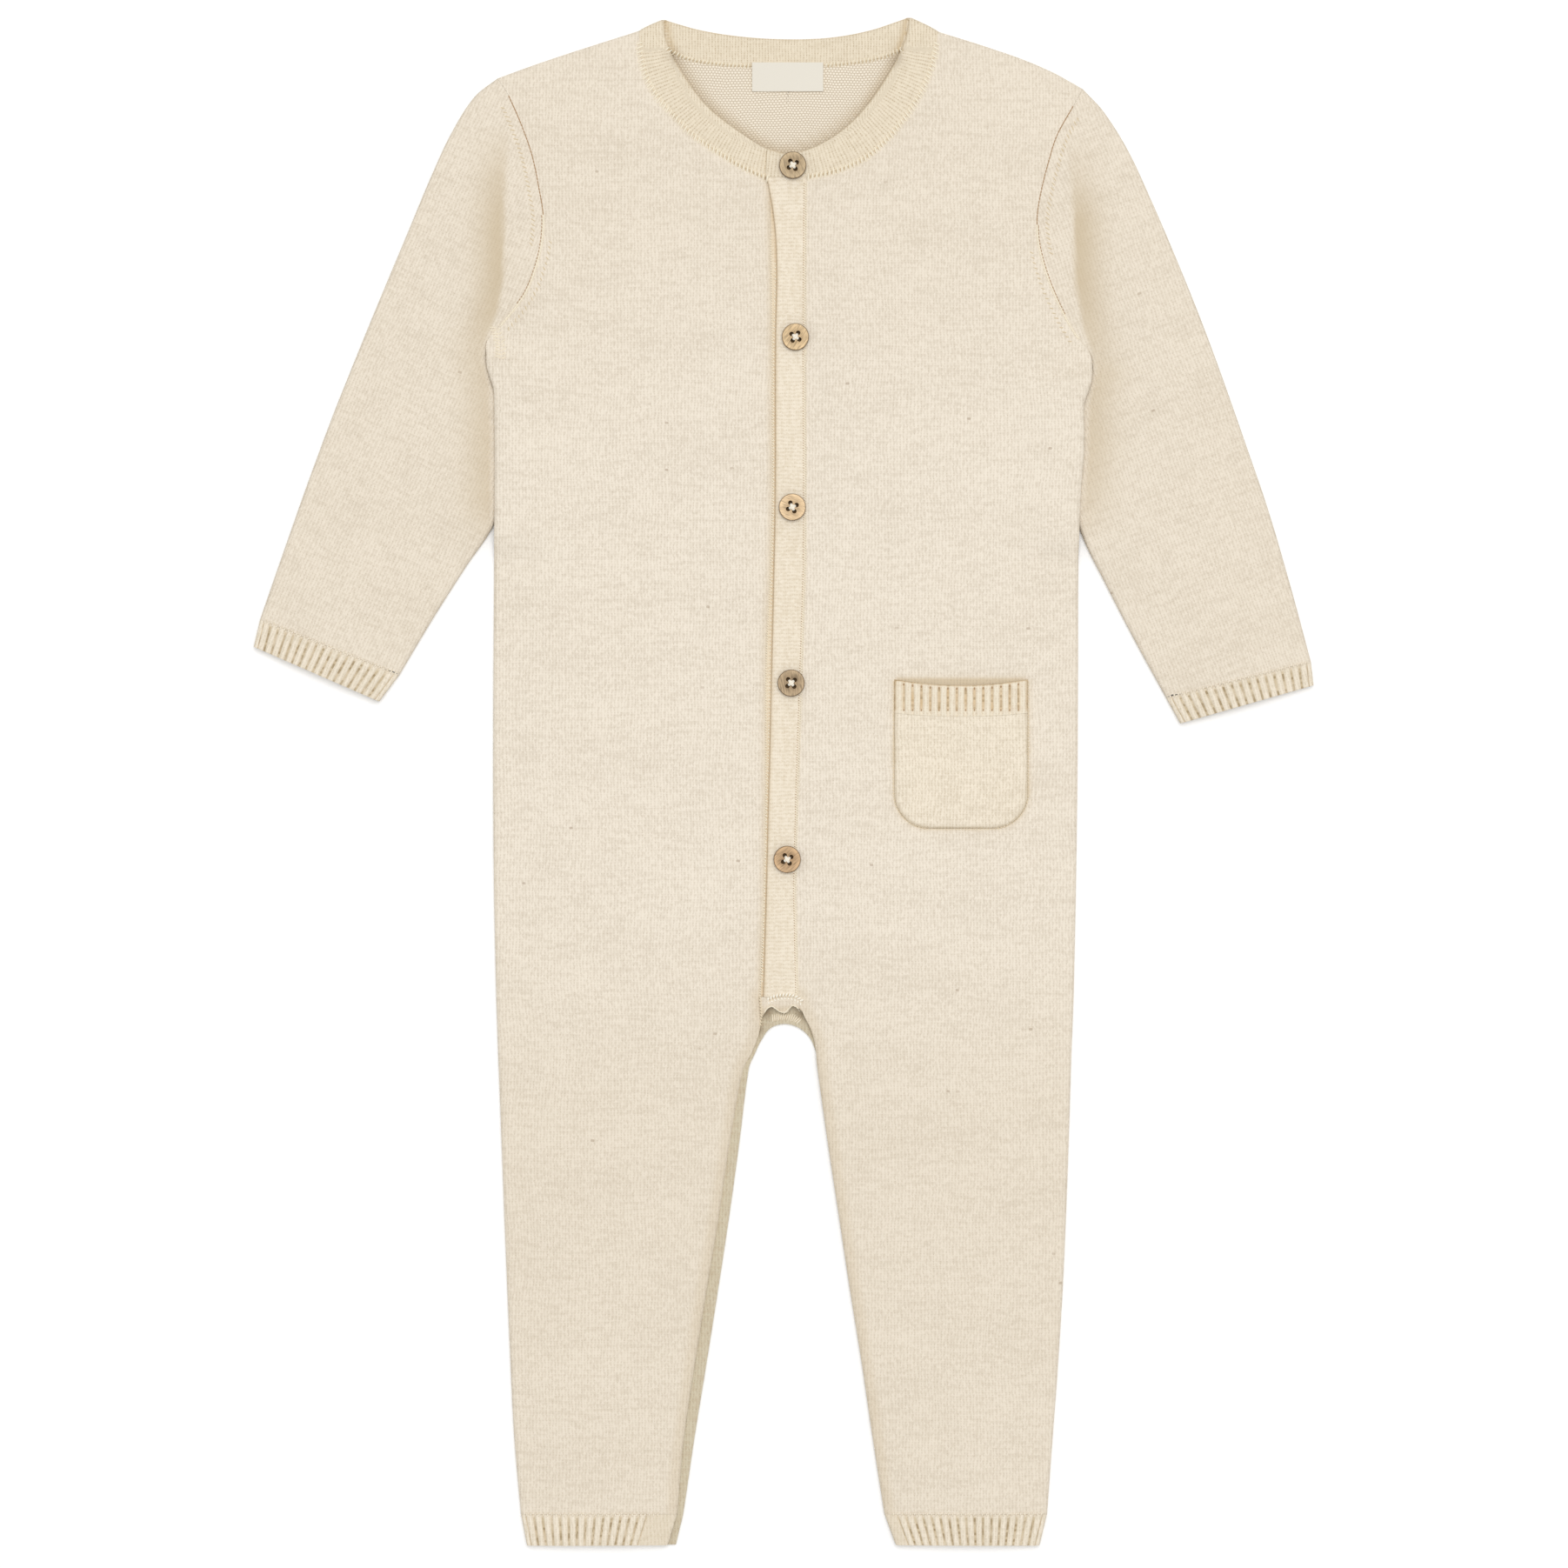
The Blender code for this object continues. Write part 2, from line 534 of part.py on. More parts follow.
def quarter_roll():
    """Distance from a fold and lean of the columns of a quarter roll, from the fold's tip inwards."""
    leans = [math.pi / 2 * (1 - k / CURL_STEPS) for k in range(CURL_STEPS + 1)]
    return [(ROLL - CORE * math.sin(lean), lean) for lean in leans]


def ring_columns(width, front, back):
    """Columns round a flattened tube: distance from the top edge, lean, face and rise of the outside."""
    quarter = quarter_roll()
    columns = [(d, -lean, 1, 0.0) for d, lean in quarter[:-1]]
    columns += [(d, 0.0, 1, rise) for d, rise in front(width)]
    columns += [(width - d, lean, 1, 0.0) for d, lean in quarter[-2::-1]]
    columns += [(width - d, lean, -1, 0.0) for d, lean in quarter[1:-1]]
    columns += [(d, 0.0, -1, 0.0) for d in back(width)[::-1]]
    columns += [(d, -lean, -1, 0.0) for d, lean in quarter[-2:0:-1]]
    return columns


def plain_columns(shares):
    """Flat columns at the ends of the two rolls and at fixed shares of the width."""
    return lambda width: [ROLL, *(share * width for share in shares), width - ROLL]


def ribbed_columns(count, plain_end=0.0):
    """Columns of the front of a cuff with this many ribs, up to plain_end from the far edge."""
    def columns(width):
        pitch = (width - 2 * ROLL - plain_end) / count
        points = [(ROLL, 0.0)]
        for i in range(count):
            points += [(ROLL + (i + share) * pitch, rise) for share, rise in RIB_PROFILE]
        return points + [(width - ROLL, 0.0)]
    return columns


def rib_count(width, plain_end=0.0):
    """How many ribs the front of a cuff of this width has."""
    return round((width - 2 * ROLL - plain_end) / RIB_PITCH)


def tube_points(place, columns, level):
    """Inner and outer points at one station. place turns a distance into a point and a direction."""
    low, high = [], []
    for distance, lean, face, rise in columns:
        point, along = place(distance)
        core = CORE * (1 - math.cos(lean))
        z = float(level(*point)) - core if face > 0 else CLOTH + core
        outward = np.array([*(along * math.sin(lean)), face * math.cos(lean)])
        low.append(np.array([*point, z]))
        high.append(low[-1] + (CLOTH + rise) * outward)
    return np.array(low), np.array(high)


def tube_wall(stations, columns_of, level):
    """Inner and outer grids of a flattened tube."""
    rows = [tube_points(place, columns_of(width), level) for place, width in stations]
    return np.array([low for low, _ in rows]), np.array([high for _, high in rows])


def straight_station(a, b):
    """A station along the straight line from a to b."""
    a, b = np.array(a, float), np.array(b, float)
    width = float(np.linalg.norm(b - a))
    along = (b - a) / width
    return (lambda d: (a + along * d, along)), width


def curved_station(line):
    """A station along a line of points."""
    step = np.linalg.norm(np.diff(line, axis=0), axis=1)
    at = np.concatenate(([0], np.cumsum(step)))

    def place(d):
        point = np.array([np.interp(d, at, line[:, k]) for k in (0, 1)])
        i = min(max(int(np.searchsorted(at, d)) - 1, 0), len(step) - 1)
        return point, (line[i + 1] - line[i]) / step[i]

    return place, float(at[-1])


def sleeve_stations(side, count):
    """Stations from the cuff to the armhole, which bend towards the armhole near it. Also returns the shares
    of the width at which the trunk has its own points on the armhole."""
    sign = 1 if side == "right" else -1
    far = 1 - np.linspace(0, 1, count)
    top = line_at(smooth_line(SLEEVE[side]["top"], 60), 1 - far**SHOULDER_CROWDING)
    under = line_at(smooth_line(SLEEVE[side]["under"], 60), 1 - far**UNDERARM_CROWDING)
    armhole = side_rail(side)[FIRST_ROW["yoke"] :][::-1]
    up = unit(armhole[-2] - armhole[-1])
    armhole = np.insert(armhole, -1, armhole[-1] + up * UNDERARM_STEP, axis=0)
    share = chord_shares(armhole)[:, None]
    out = square_to(armhole, sign)
    square = square_to(under, -sign)
    stations = []
    for i in range(count):
        straight = top[i] + (under[i] - top[i]) * share
        bowed = armhole + out * far[i] * SLEEVE_LENGTH
        bowed += (top[i] - bowed[0]) * (1 - share) ** 2 + (under[i] - bowed[-1]) * share**6
        line = straight + (bowed - straight) * max(0.0, 1 - far[i] / SLEEVE_ARMHOLE_REACH) ** 2
        fan = min(1.0, np.linalg.norm(under[i] - armhole[-1]) / UNDERARM_FAN) ** (1 / 3)
        step = (1 - share[-2]) * np.linalg.norm(under[i] - top[i])
        line[-2] = under[i] + unit((1 - fan) * up + fan * square[i]) * step
        if i == 0:
            line = line + seam_step(line, SLEEVE[side]["hem"])
        if i == count - 1:
            line = armhole + out * SEAM / 2
        stations.append(curved_station(line))
    return stations, share[1:-1, 0]


def unit(vector):
    """The vector at length 1."""
    return vector / np.linalg.norm(vector)


def square_to(line, sign):
    """Directions square to a line at each of its points, to its right where sign is 1."""
    tangent = np.gradient(line, axis=0)
    tangent /= np.linalg.norm(tangent, axis=1)[:, None]
    return np.column_stack([tangent[:, 1], -tangent[:, 0]]) * sign


def seam_step(line, hem):
    """Half a seam, away from the hem."""
    return unit((line[0] + line[-1]) / 2 - np.mean(hem, axis=0)) * SEAM / 2


def chord_shares(line):
    """Share of the whole length at each point of a line."""
    along = np.concatenate(([0], np.cumsum(np.linalg.norm(np.diff(line, axis=0), axis=1))))
    return along / along[-1]


def line_at(line, shares):
    """Points at the given shares of a line's length."""
    return np.column_stack([np.interp(shares, chord_shares(line), line[:, k]) for k in (0, 1)])


def build_sleeve(side, material):
    """A sleeve: a flattened tube from the cuff's seam to the armhole."""
    stations, shares = sleeve_stations(side, SLEEVE_STATIONS)
    plain = plain_columns(shares)
    grids = tube_wall(
        stations,
        lambda width: ring_columns(width, lambda w: [(d, 0.0) for d in plain(w)], plain),
        lambda x, y: front_level(x, y, sleeve=True),
    )
    return cloth_piece(f"sleeve_{side}", *grids, material, ring=True)


def build_sleeve_cuff(side, material):
    """A ribbed tube on the end of a sleeve."""
    seam = np.array([SLEEVE[side]["top"][0], SLEEVE[side]["under"][0]], float)
    hem = np.array(SLEEVE[side]["hem"], float)
    seam -= seam_step(seam, hem)
    ribs = rib_count(np.linalg.norm(seam[1] - seam[0]))
    stations = [straight_station(*(seam + (hem - seam) * share)) for share in CUFF_SHARES]
    grids = tube_wall(
        stations,
        lambda width: ring_columns(width, ribbed_columns(ribs), plain_columns([0.25, 0.5, 0.75])),
        lambda x, y: front_level(x, y, sleeve=True),
    )
    return cloth_piece(f"cuff_sleeve_{side}", *grids, material, ring=True)


def build_leg_cuff(side, material):
    """The ribbed end of a leg, open at the inner leg: front, outer fold and back in one strip."""
    seam = np.array([SIDE[side]["leg"][0], FRONT_INNER[side]["leg"][0]], float) - [0, SEAM / 2]
    hem = np.array(LEG_HEM[side], float)
    back_x = (BACK_INNER[side]["leg"][0][0], leg_back_hem(side)[0])
    ribs = rib_count(abs(seam[0][0] - seam[1][0]), LEG_RIB_END)
    inner, outer = [], []
    for share in CUFF_SHARES:
        a, b = seam + (hem - seam) * share
        back_end = abs(back_x[0] + (back_x[1] - back_x[0]) * share - a[0]) - SEAM / 2
        place, width = straight_station(a, b)
        columns = [(width - d, lean, 1, 0.0) for d, _, lean in edge_columns(1.0)]
        columns += [(d, 0.0, 1, rise) for d, rise in ribbed_columns(ribs, LEG_RIB_END)(width)[-2::-1]]
        columns += [(d, -lean, 1, 0.0) for d, lean in quarter_roll()[-2::-1]]
        columns += [(d, -lean, -1, 0.0) for d, lean in quarter_roll()[1:]]
        columns += [(ROLL + part * (back_end - ROLL), 0.0, -1, 0.0) for part in (0.25, 0.5, 0.75, 1.0)]
        low, high = tube_points(place, columns, front_level)
        for grid in (low, high):
            for i, (_, lean, _, _) in enumerate(columns[: CURL_STEPS + 1]):
                grid[i, 2] += SEAM / 2 * math.sin(lean)
        inner.append(low)
        outer.append(high)
    return cloth_piece(f"cuff_leg_{side}", np.array(inner), np.array(outer), material)


def strip(left, right, level, left_round=0.0):
    """Grids of a band's strip between two rails of (x, y). left_round rounds its free left edge."""
    inner, outer = [], []
    for a, b in zip(left, right):
        points = np.array([a + (b - a) * share for share in (0.0, 0.2, 0.5, 0.8, 1.0)])
        low = np.column_stack([points, level(points[:, 0], points[:, 1])])
        high = low + [0, 0, BAND]
        if left_round:
            edge = (low[0] + high[0]) / 2
            for grid in (low, high):
                grid[0, :2] += unit(b - a) * left_round
            low = np.vstack([edge - [0, 0, BAND / 8], low])
            high = np.vstack([edge + [0, 0, BAND / 8], high])
        inner.append(low)
        outer.append(high)
    return np.array(inner), np.array(outer)


def placket_rail(side, shift):
    """The part of a front panel's inner edge that the placket is sewn to."""
    line = front_inner_rail(side)[FIRST_ROW["trunk"] : FIRST_ROW["shoulder"] + 1] + [shift, 0]
    line[0, 1] += SEAM / 2
    line[-1, 1] -= SEAM
    return line


def build_placket(material):
    """The two bands of the front opening: the under one carries the buttons, the top one the buttonholes."""
    under = strip(placket_rail("right", SEAM / 2), placket_rail("left", -SEAM), under_level)
    cloth_piece("placket_under", *under, material)
    sewn = placket_rail("left", -SEAM / 2)
    edge = smooth_line(PLACKET_FREE_EDGE, 60)
    free = np.column_stack([np.interp(sewn[:, 1], edge[:, 1], edge[:, 0]), sewn[:, 1]])
    top = strip(free, sewn, over_level, left_round=0.4)
    cloth_piece("placket_top", *top, material)


def build_crotch_tab(material):
    """The short edge across the bottom of the placket. Its lower edge gapes in two scallops."""
    inner, outer = [], []
    for share in (0.0, 0.5, 1.0):
        low, high = [], []
        for x, lower, stand in CROTCH_TAB:
            y = CROTCH_TAB_TOP + (lower - CROTCH_TAB_TOP) * share
            z = float(over_level(x, y)) + stand * share**2
            low.append((x, y, z))
            high.append((x, y, z + CLOTH))
        inner.append(low)
        outer.append(high)
    return cloth_piece("crotch_tab", np.array(inner), np.array(outer), material)


def leg_back_hem(side):
    """The inner end of the back panel's side of the hem."""
    seam, front = BACK_INNER[side]["leg"][0], FRONT_INNER[side]["leg"][0]
    return (seam[0] + LEG_HEM[side][1][0] - front[0], LEG_HEM[side][1][1])


def build_inseam_band(material):
    """The band on the back's side of the inner legs, from hem to hem round the crotch."""
    free, sewn = [], []
    for side, order in (("right", 1), ("left", -1)):
        stretches = INSEAM_FREE[side]
        rows = {"hem": 2, "leg": ROWS["leg"], "crotch": ROWS["crotch"]}
        edge = rail([(stretches[name], count) for name, count in rows.items()])
        back = BACK_INNER[side]
        hem = [leg_back_hem(side), back["leg"][0]]
        seam = rail([(hem, rows["hem"]), (back["leg"], rows["leg"]), (back["crotch"], rows["crotch"])])
        skip = 1 if side == "left" else 0
        free.append(edge[::order][skip:])
        sewn.append(seam[::order][skip:])
    free, sewn = np.vstack(free), np.vstack(sewn)
    across = sewn - free
    across /= np.linalg.norm(across, axis=1)[:, None]
    sewn = sewn - across * SEAM / 2
    inner = []
    for a, b in zip(free, sewn):
        inner.append([(*(a + (b - a) * share), CLOTH) for share in (0.0, 0.5, 1.0)])
    inner = np.array(inner)
    return cloth_piece("inseam_band", inner, inner - [0, 0, CLOTH], material)


def neck_section(opening, seam):
    """Five corners of the neckband's section from two (inner, outer) pairs: square at the seam, round at the
    opening."""
    low_a, high_a = opening
    low_b, high_b = seam
    across = (low_a - low_b) * [1, 1, 0]
    across /= np.linalg.norm(across)
    slip = across * SEAM / 2
    return [low_b + slip, low_a - across * BAND / 2, (low_a + high_a) / 2, high_a - across * BAND / 2,
            high_b + slip]


def neck_pair(point, level, face=1):
    """The inside and the outside of the neckband at a point."""
    low = np.array([*point, level])
    return low, low + [0, 0, face * BAND]


def neck_fold(opening, seam, back_opening, back_seam):
    """Sections that turn the neckband over at the shoulder, from the front's level down to the back's. Each
    argument is a line that ends at the fold."""
    out = fold_out(np.array([opening[-1], seam[-1]]))
    high, low = ROLL + CORE + BAND, 0.0
    centre, outside = (high + low) / 2, (high - low) / 2
    sections = []
    for lean in np.linspace(0, math.pi, 5):
        pairs = []
        for front, back in ((opening, back_opening), (seam, back_seam)):
            line = front if lean < 1.5 else back
            run = along_to_fold(line[-1] - line[-2], out)
            pair = []
            for radius in (outside - BAND, outside):
                spot = line[-1] - run * (outside - radius * math.sin(lean))
                pair.append(np.array([*spot, centre + radius * math.cos(lean)]))
            pairs.append(pair)
        sections.append(neck_section(*pairs))
    return sections


def build_neckband(material):
    """One band: the under end at the opening, up the wearer's right, over the shoulder, round the back, over
    the other shoulder and down to the end that lies on top."""
    back_opening = smooth_line(NECK_BACK, 2 * ROWS["shoulder"] + 1)
    back_halves = [rail([(BACK_INNER[side]["neck"], ROWS["shoulder"])]) for side in ("right", "left")]
    back_seam = np.vstack([back_halves[0][::-1], back_halves[1][1:]])
    halves = {}
    for side, level in (("right", under_level), ("left", over_level)):
        front = NECK_FRONT[side]
        seam = rail([(front["end"], 3), (FRONT_INNER[side]["shoulder"], ROWS["shoulder"])])
        opening = smooth_line(front["opening"], len(seam))
        rows = [neck_section(neck_pair(a, float(level(*a))), neck_pair(b, float(level(*b))))
                for a, b in zip(opening[:-1], seam[:-1])]
        order = -1 if side == "right" else 1
        fold = neck_fold(opening, seam, back_opening[::order], back_seam[::order])
        halves[side] = (rows, fold)
    back = [neck_section(neck_pair(a, BAND, -1), neck_pair(b, BAND, -1))
            for a, b in zip(back_opening[1:-1], back_seam[1:-1])]
    sections = halves["right"][0] + halves["right"][1] + back
    sections += halves["left"][1][::-1] + halves["left"][0][::-1]
    bm = bmesh.new()
    rings = [[bm.verts.new(point * MM) for point in section] for section in sections]
    for first, second in zip(rings, rings[1:]):
        for k in range(len(first)):
            n = (k + 1) % len(first)
            bm.faces.new([first[k], first[n], second[n], second[k]])
    bm.faces.new(rings[0])
    bm.faces.new(rings[-1][::-1])
    return finish("neckband", bm, material)


def pocket_ends(y):
    """Left and right ends of the pocket at a height, with round lower corners."""
    p = POCKET
    up = min(max((y - p["bottom"]) / p["corner"], 0.0), 1.0)
    inset = p["corner"] * (1 - math.sqrt(max(1 - (1 - up) ** 2, 0.0)))
    return p["left"] + inset, p["right"] - inset


def pocket_point(x, y):
    """A point of the pocket's underside, lying on the front panel."""
    p = POCKET
    mouth = smoothstep((y - p["bottom"]) / (p["top"] - p["bottom"]))
    middle = 1 - (2 * (x - p["left"]) / (p["right"] - p["left"]) - 1) ** 2
    sag = p["sag"] * middle * mouth**4
    z = over_level(x, y) + CLOTH + SEAM + middle * (p["crown"] + p["gape"] * mouth**6)
    return np.array([x, y - sag, float(z)])


def build_pocket(body_material, rib_material):
    """The patch pocket on the wearer's left, and the ribbed border of its mouth."""
    p = POCKET
    corners = p["bottom"] + p["corner"] * np.array(POCKET_CORNER_SHARES)
    sides = np.linspace(corners[-1], p["seam"] - SEAM / 2, 5)[1:]
    inner = np.array([[pocket_point(x, y) for x in np.linspace(*pocket_ends(y), 9)]
                      for y in [*corners, *sides]])
    cloth_piece("pocket", inner, inner + [0, 0, p["thickness"]], body_material)

    count = round((p["right"] - p["left"] - 2 * p["margin"]) / RIB_PITCH)
    pitch = (p["right"] - p["left"] - 2 * p["margin"]) / count
    columns = [(p["left"], 0.0)]
    for i in range(count):
        columns += [(p["left"] + p["margin"] + (i + share) * pitch, rise) for share, rise in RIB_PROFILE]
    columns.append((p["right"], 0.0))
    inner, outer = [], []
    for y, ribbed in ((p["seam"] + SEAM / 2, 0.3), (p["seam"] + 2.0, 1.0), (p["top"] - 1.2, 1.0),
                      (p["top"], 0.3)):
        row = np.array([pocket_point(x, y) for x, _ in columns])
        rise = np.array([[0, 0, p["thickness"] + ribbed * up] for _, up in columns])
        inner.append(row)
        outer.append(row + rise)
    cloth_piece("pocket_rib", np.array(inner), np.array(outer), rib_material)


def build_label(material):
    """The blank woven label, hung from the back neck seam."""
    p = LABEL
    inner = []
    for y in np.linspace(p["bottom"], p["top"], 3):
        rise = BAND + SEAM - (p["dip"] if y < BACK_NECK_MIDDLE[1] else 0)
        inner.append([(x, y, rise) for x in np.linspace(p["left"], p["right"], 5)])
    inner = np.array(inner)
    return cloth_piece("label", inner, inner + [0, 0, p["thickness"]], material)


def turned(name, profile, sides, material):
    """A solid turned from a closed profile of (radius, height) that starts and ends on the axis."""
    bm = bmesh.new()
    points = [bm.verts.new((r * MM, 0, z * MM)) for r, z in profile]
    for a, b in zip(points, points[1:]):
        bm.edges.new((a, b))
    mesh = bpy.data.meshes.new(name)
    bm.to_mesh(mesh)
    bm.free()
    obj = bpy.data.objects.new(name, mesh)
    obj.data.materials.append(material)
    screw = obj.modifiers.new("turn", "SCREW")
    screw.steps = screw.render_steps = sides
    screw.use_merge_vertices = True
    screw.merge_threshold = 0.00001
    screw.use_smooth_shade = True
    return obj


def build_buttons(material):
    """Five four-hole buttons on the placket, each turned a little differently."""
    b = BUTTON
    profile = [(0.0, b["height"]), (b["radius"] - b["edge"], b["height"]),
               (b["radius"], b["height"] - b["edge"]), (b["radius"], b["edge"]),
               (b["radius"] - b["edge"], 0.0), (0.0, 0.0)]
    cutter = build_hole_cutter()
    for i, ((x, y), turn) in enumerate(zip(BUTTONS, BUTTON_TURNS), 1):
        obj = turned(f"button_{i}", profile, b["sides"], material)
        rim = [(x + b["radius"] * math.cos(t), y + b["radius"] * math.sin(t))
               for t in np.linspace(0, 2 * math.pi, 12, endpoint=False)]
        seat = max(float(over_level(*point)) for point in rim + [(x, y)]) + BAND + SEAM
        obj.location = (x * MM, y * MM, seat * MM)
        obj.rotation_euler = (0, 0, math.radians(turn))
        ROMPER.objects.link(obj)
        holes = cutter.copy()
        holes.name = f"holes_{i}"
        holes.location = obj.location
        holes.rotation_euler = obj.rotation_euler
        CUTTERS.objects.link(holes)
        cut = obj.modifiers.new("holes", "BOOLEAN")
        cut.object = holes
        cut.solver = "EXACT"
    bpy.data.objects.remove(cutter)


def build_hole_cutter():
    """Four thin cylinders, longer than a button is thick."""
    b = BUTTON
    bm = bmesh.new()
    for sx in (-1, 1):
        for sy in (-1, 1):
            made = bmesh.ops.create_cone(bm, cap_ends=True, segments=b["hole_sides"],
                                         radius1=b["hole_radius"] * MM, radius2=b["hole_radius"] * MM,
                                         depth=3 * b["height"] * MM)
            step = (sx * b["hole_offset"] * MM, sy * b["hole_offset"] * MM, b["height"] / 2 * MM)
            bmesh.ops.translate(bm, verts=made["verts"], vec=step)
    mesh = bpy.data.meshes.new("button_holes")
    bm.to_mesh(mesh)
    bm.free()
    obj = bpy.data.objects.new("button_holes", mesh)
    obj.hide_render = True
    obj.display_type = "WIRE"
    return obj


def make_material(name):
    """A plain Principled material of the named colour."""
    colour, roughness = COLOURS[name]
    material = bpy.data.materials.new(name)
    material.use_nodes = True
    shader = material.node_tree.nodes["Principled BSDF"]
    shader.inputs["Base Color"].default_value = colour
    shader.inputs["Roughness"].default_value = roughness
    shader.inputs["Metallic"].default_value = 0.0
    return material


def new_collection(name):
    """A collection in the scene."""
    collection = bpy.data.collections.new(name)
    bpy.context.scene.collection.children.link(collection)
    return collection


for old in list(bpy.data.objects):
    bpy.data.objects.remove(old)
ROMPER = new_collection("baby_romper")
CUTTERS = new_collection("cutters")
jersey, rib = make_material("oatmeal_jersey"), make_material("cream_rib")

build_back(jersey)
build_front("right", under_level, jersey)
build_front("left", over_level, jersey)
for wearer_side in SIDE:
    build_sleeve(wearer_side, jersey)
    build_sleeve_cuff(wearer_side, rib)
    build_leg_cuff(wearer_side, rib)
build_placket(rib)
build_crotch_tab(jersey)
build_inseam_band(rib)
build_neckband(rib)
build_pocket(jersey, rib)
build_label(make_material("label_satin"))
build_buttons(make_material("wood"))
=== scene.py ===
"""Looks of a knitted baby romper that lies flat: fine cloth, sewing, buttons, floor, light and camera.

Tables are in millimetres, in the CAD's frame: +X to the wearer's left, +Y towards the neck, +Z up.
"""

import json
import math

import bmesh
import bpy
import numpy as np
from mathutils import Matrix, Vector
from mathutils.bvhtree import BVHTree

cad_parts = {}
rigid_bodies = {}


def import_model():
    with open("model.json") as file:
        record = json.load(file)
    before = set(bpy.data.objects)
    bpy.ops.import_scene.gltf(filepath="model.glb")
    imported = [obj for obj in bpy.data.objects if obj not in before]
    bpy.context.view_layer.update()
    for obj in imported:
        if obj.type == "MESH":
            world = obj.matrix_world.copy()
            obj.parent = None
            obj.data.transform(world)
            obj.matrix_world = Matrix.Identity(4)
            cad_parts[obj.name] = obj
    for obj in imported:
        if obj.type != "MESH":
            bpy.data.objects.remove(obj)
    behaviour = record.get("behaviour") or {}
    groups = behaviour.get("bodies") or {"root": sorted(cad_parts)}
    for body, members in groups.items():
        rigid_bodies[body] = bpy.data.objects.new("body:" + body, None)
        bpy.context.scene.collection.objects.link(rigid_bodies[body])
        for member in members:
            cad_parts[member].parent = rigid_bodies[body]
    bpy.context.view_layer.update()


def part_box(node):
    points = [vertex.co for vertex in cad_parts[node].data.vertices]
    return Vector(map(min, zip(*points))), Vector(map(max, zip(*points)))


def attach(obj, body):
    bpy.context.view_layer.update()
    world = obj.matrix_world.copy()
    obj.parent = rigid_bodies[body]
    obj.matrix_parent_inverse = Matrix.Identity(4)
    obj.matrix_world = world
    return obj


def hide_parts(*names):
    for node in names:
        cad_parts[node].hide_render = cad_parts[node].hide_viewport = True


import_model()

MM = 0.001
CURVE_STEPS = 24  # between two given points of a smooth line

# Knit
WALE = 1.4  # width of a column of stitches
COURSE = 1.05  # height of a row of stitches
BAND_WALE = 1.6
BAND_COURSE = 1.0
NECK_WALE = 1.5

# Cloth
CLOTH = 1.4  # jersey of the panels and sleeves
BAND = 1.6  # doubled knit of the neckband and the placket
SEAM = 0.05  # between two pieces that are sewn together; the solids have more
CORE = 0.25  # radius inside a folded edge
ROLL = CLOTH + CORE  # radius outside a folded edge

# Shape of the front over the back
PUFF = 2.0  # how far the front stands off the back in the middle of a wide stretch
PUFF_REACH = 30.0  # from a folded edge to where the front has its full height
OVERLAP = (BAND + SEAM) / 2  # half the step between the under and the over side of the front opening
OVERLAP_FLAT = 10.0  # to each side of the opening's middle, at the full step
OVERLAP_REACH = 36.0  # where the step has died out
TUCK_LIFT = 4.0  # the trunk's edge where it lies on the sleeve
TUCK_FLAT = 10.0  # from the trunk's edge, at the full lift
TUCK_REACH = 26.0  # where the trunk is back on the surface
TUCK_BOTTOM = 90.0  # height at which the lift starts
TUCK_BOTTOM_RAMP = 16.0
TUCK_TOP_CLEAR = 3.0  # from the underarm point down to where the lift has ended
TUCK_TOP_RAMP = 10.0
LEAST_LEVEL = CLOTH + SEAM  # the lowest underside of any front piece

# Ribs of the cuffs and the pocket's mouth
RIB_PITCH = 3.65
RIB_CREST = 0.25
RIB_GROOVE = -0.35
RIB_PROFILE = [  # share of a pitch, rise
    (0.10, RIB_GROOVE),
    (0.30, RIB_CREST),
    (0.70, RIB_CREST),
    (0.90, RIB_GROOVE),
]

# Faceting
CURL_STEPS = 2  # facets of a quarter roll
FRONT_SHARES = [0.09, 0.27, 0.5, 0.75, 0.92]
BACK_SHARES = [0.09, 0.24, 0.6]
SLEEVE_STATIONS = 11
CUFF_SHARES = [0.0, 1.0]

# Rows of points in each stretch of the trunk's outlines, bottom to top.
ROWS = {"leg": 6, "crotch": 4, "trunk": 4, "tuck": 6, "underarm": 4, "yoke": 6, "shoulder": 7}
OPENING = ("trunk", "tuck", "underarm", "yoke")  # the stretches along the front opening

FIRST_ROW = {name: sum(list(ROWS.values())[:i]) for i, name in enumerate(ROWS)}
ROW_COUNT = sum(ROWS.values()) + 1

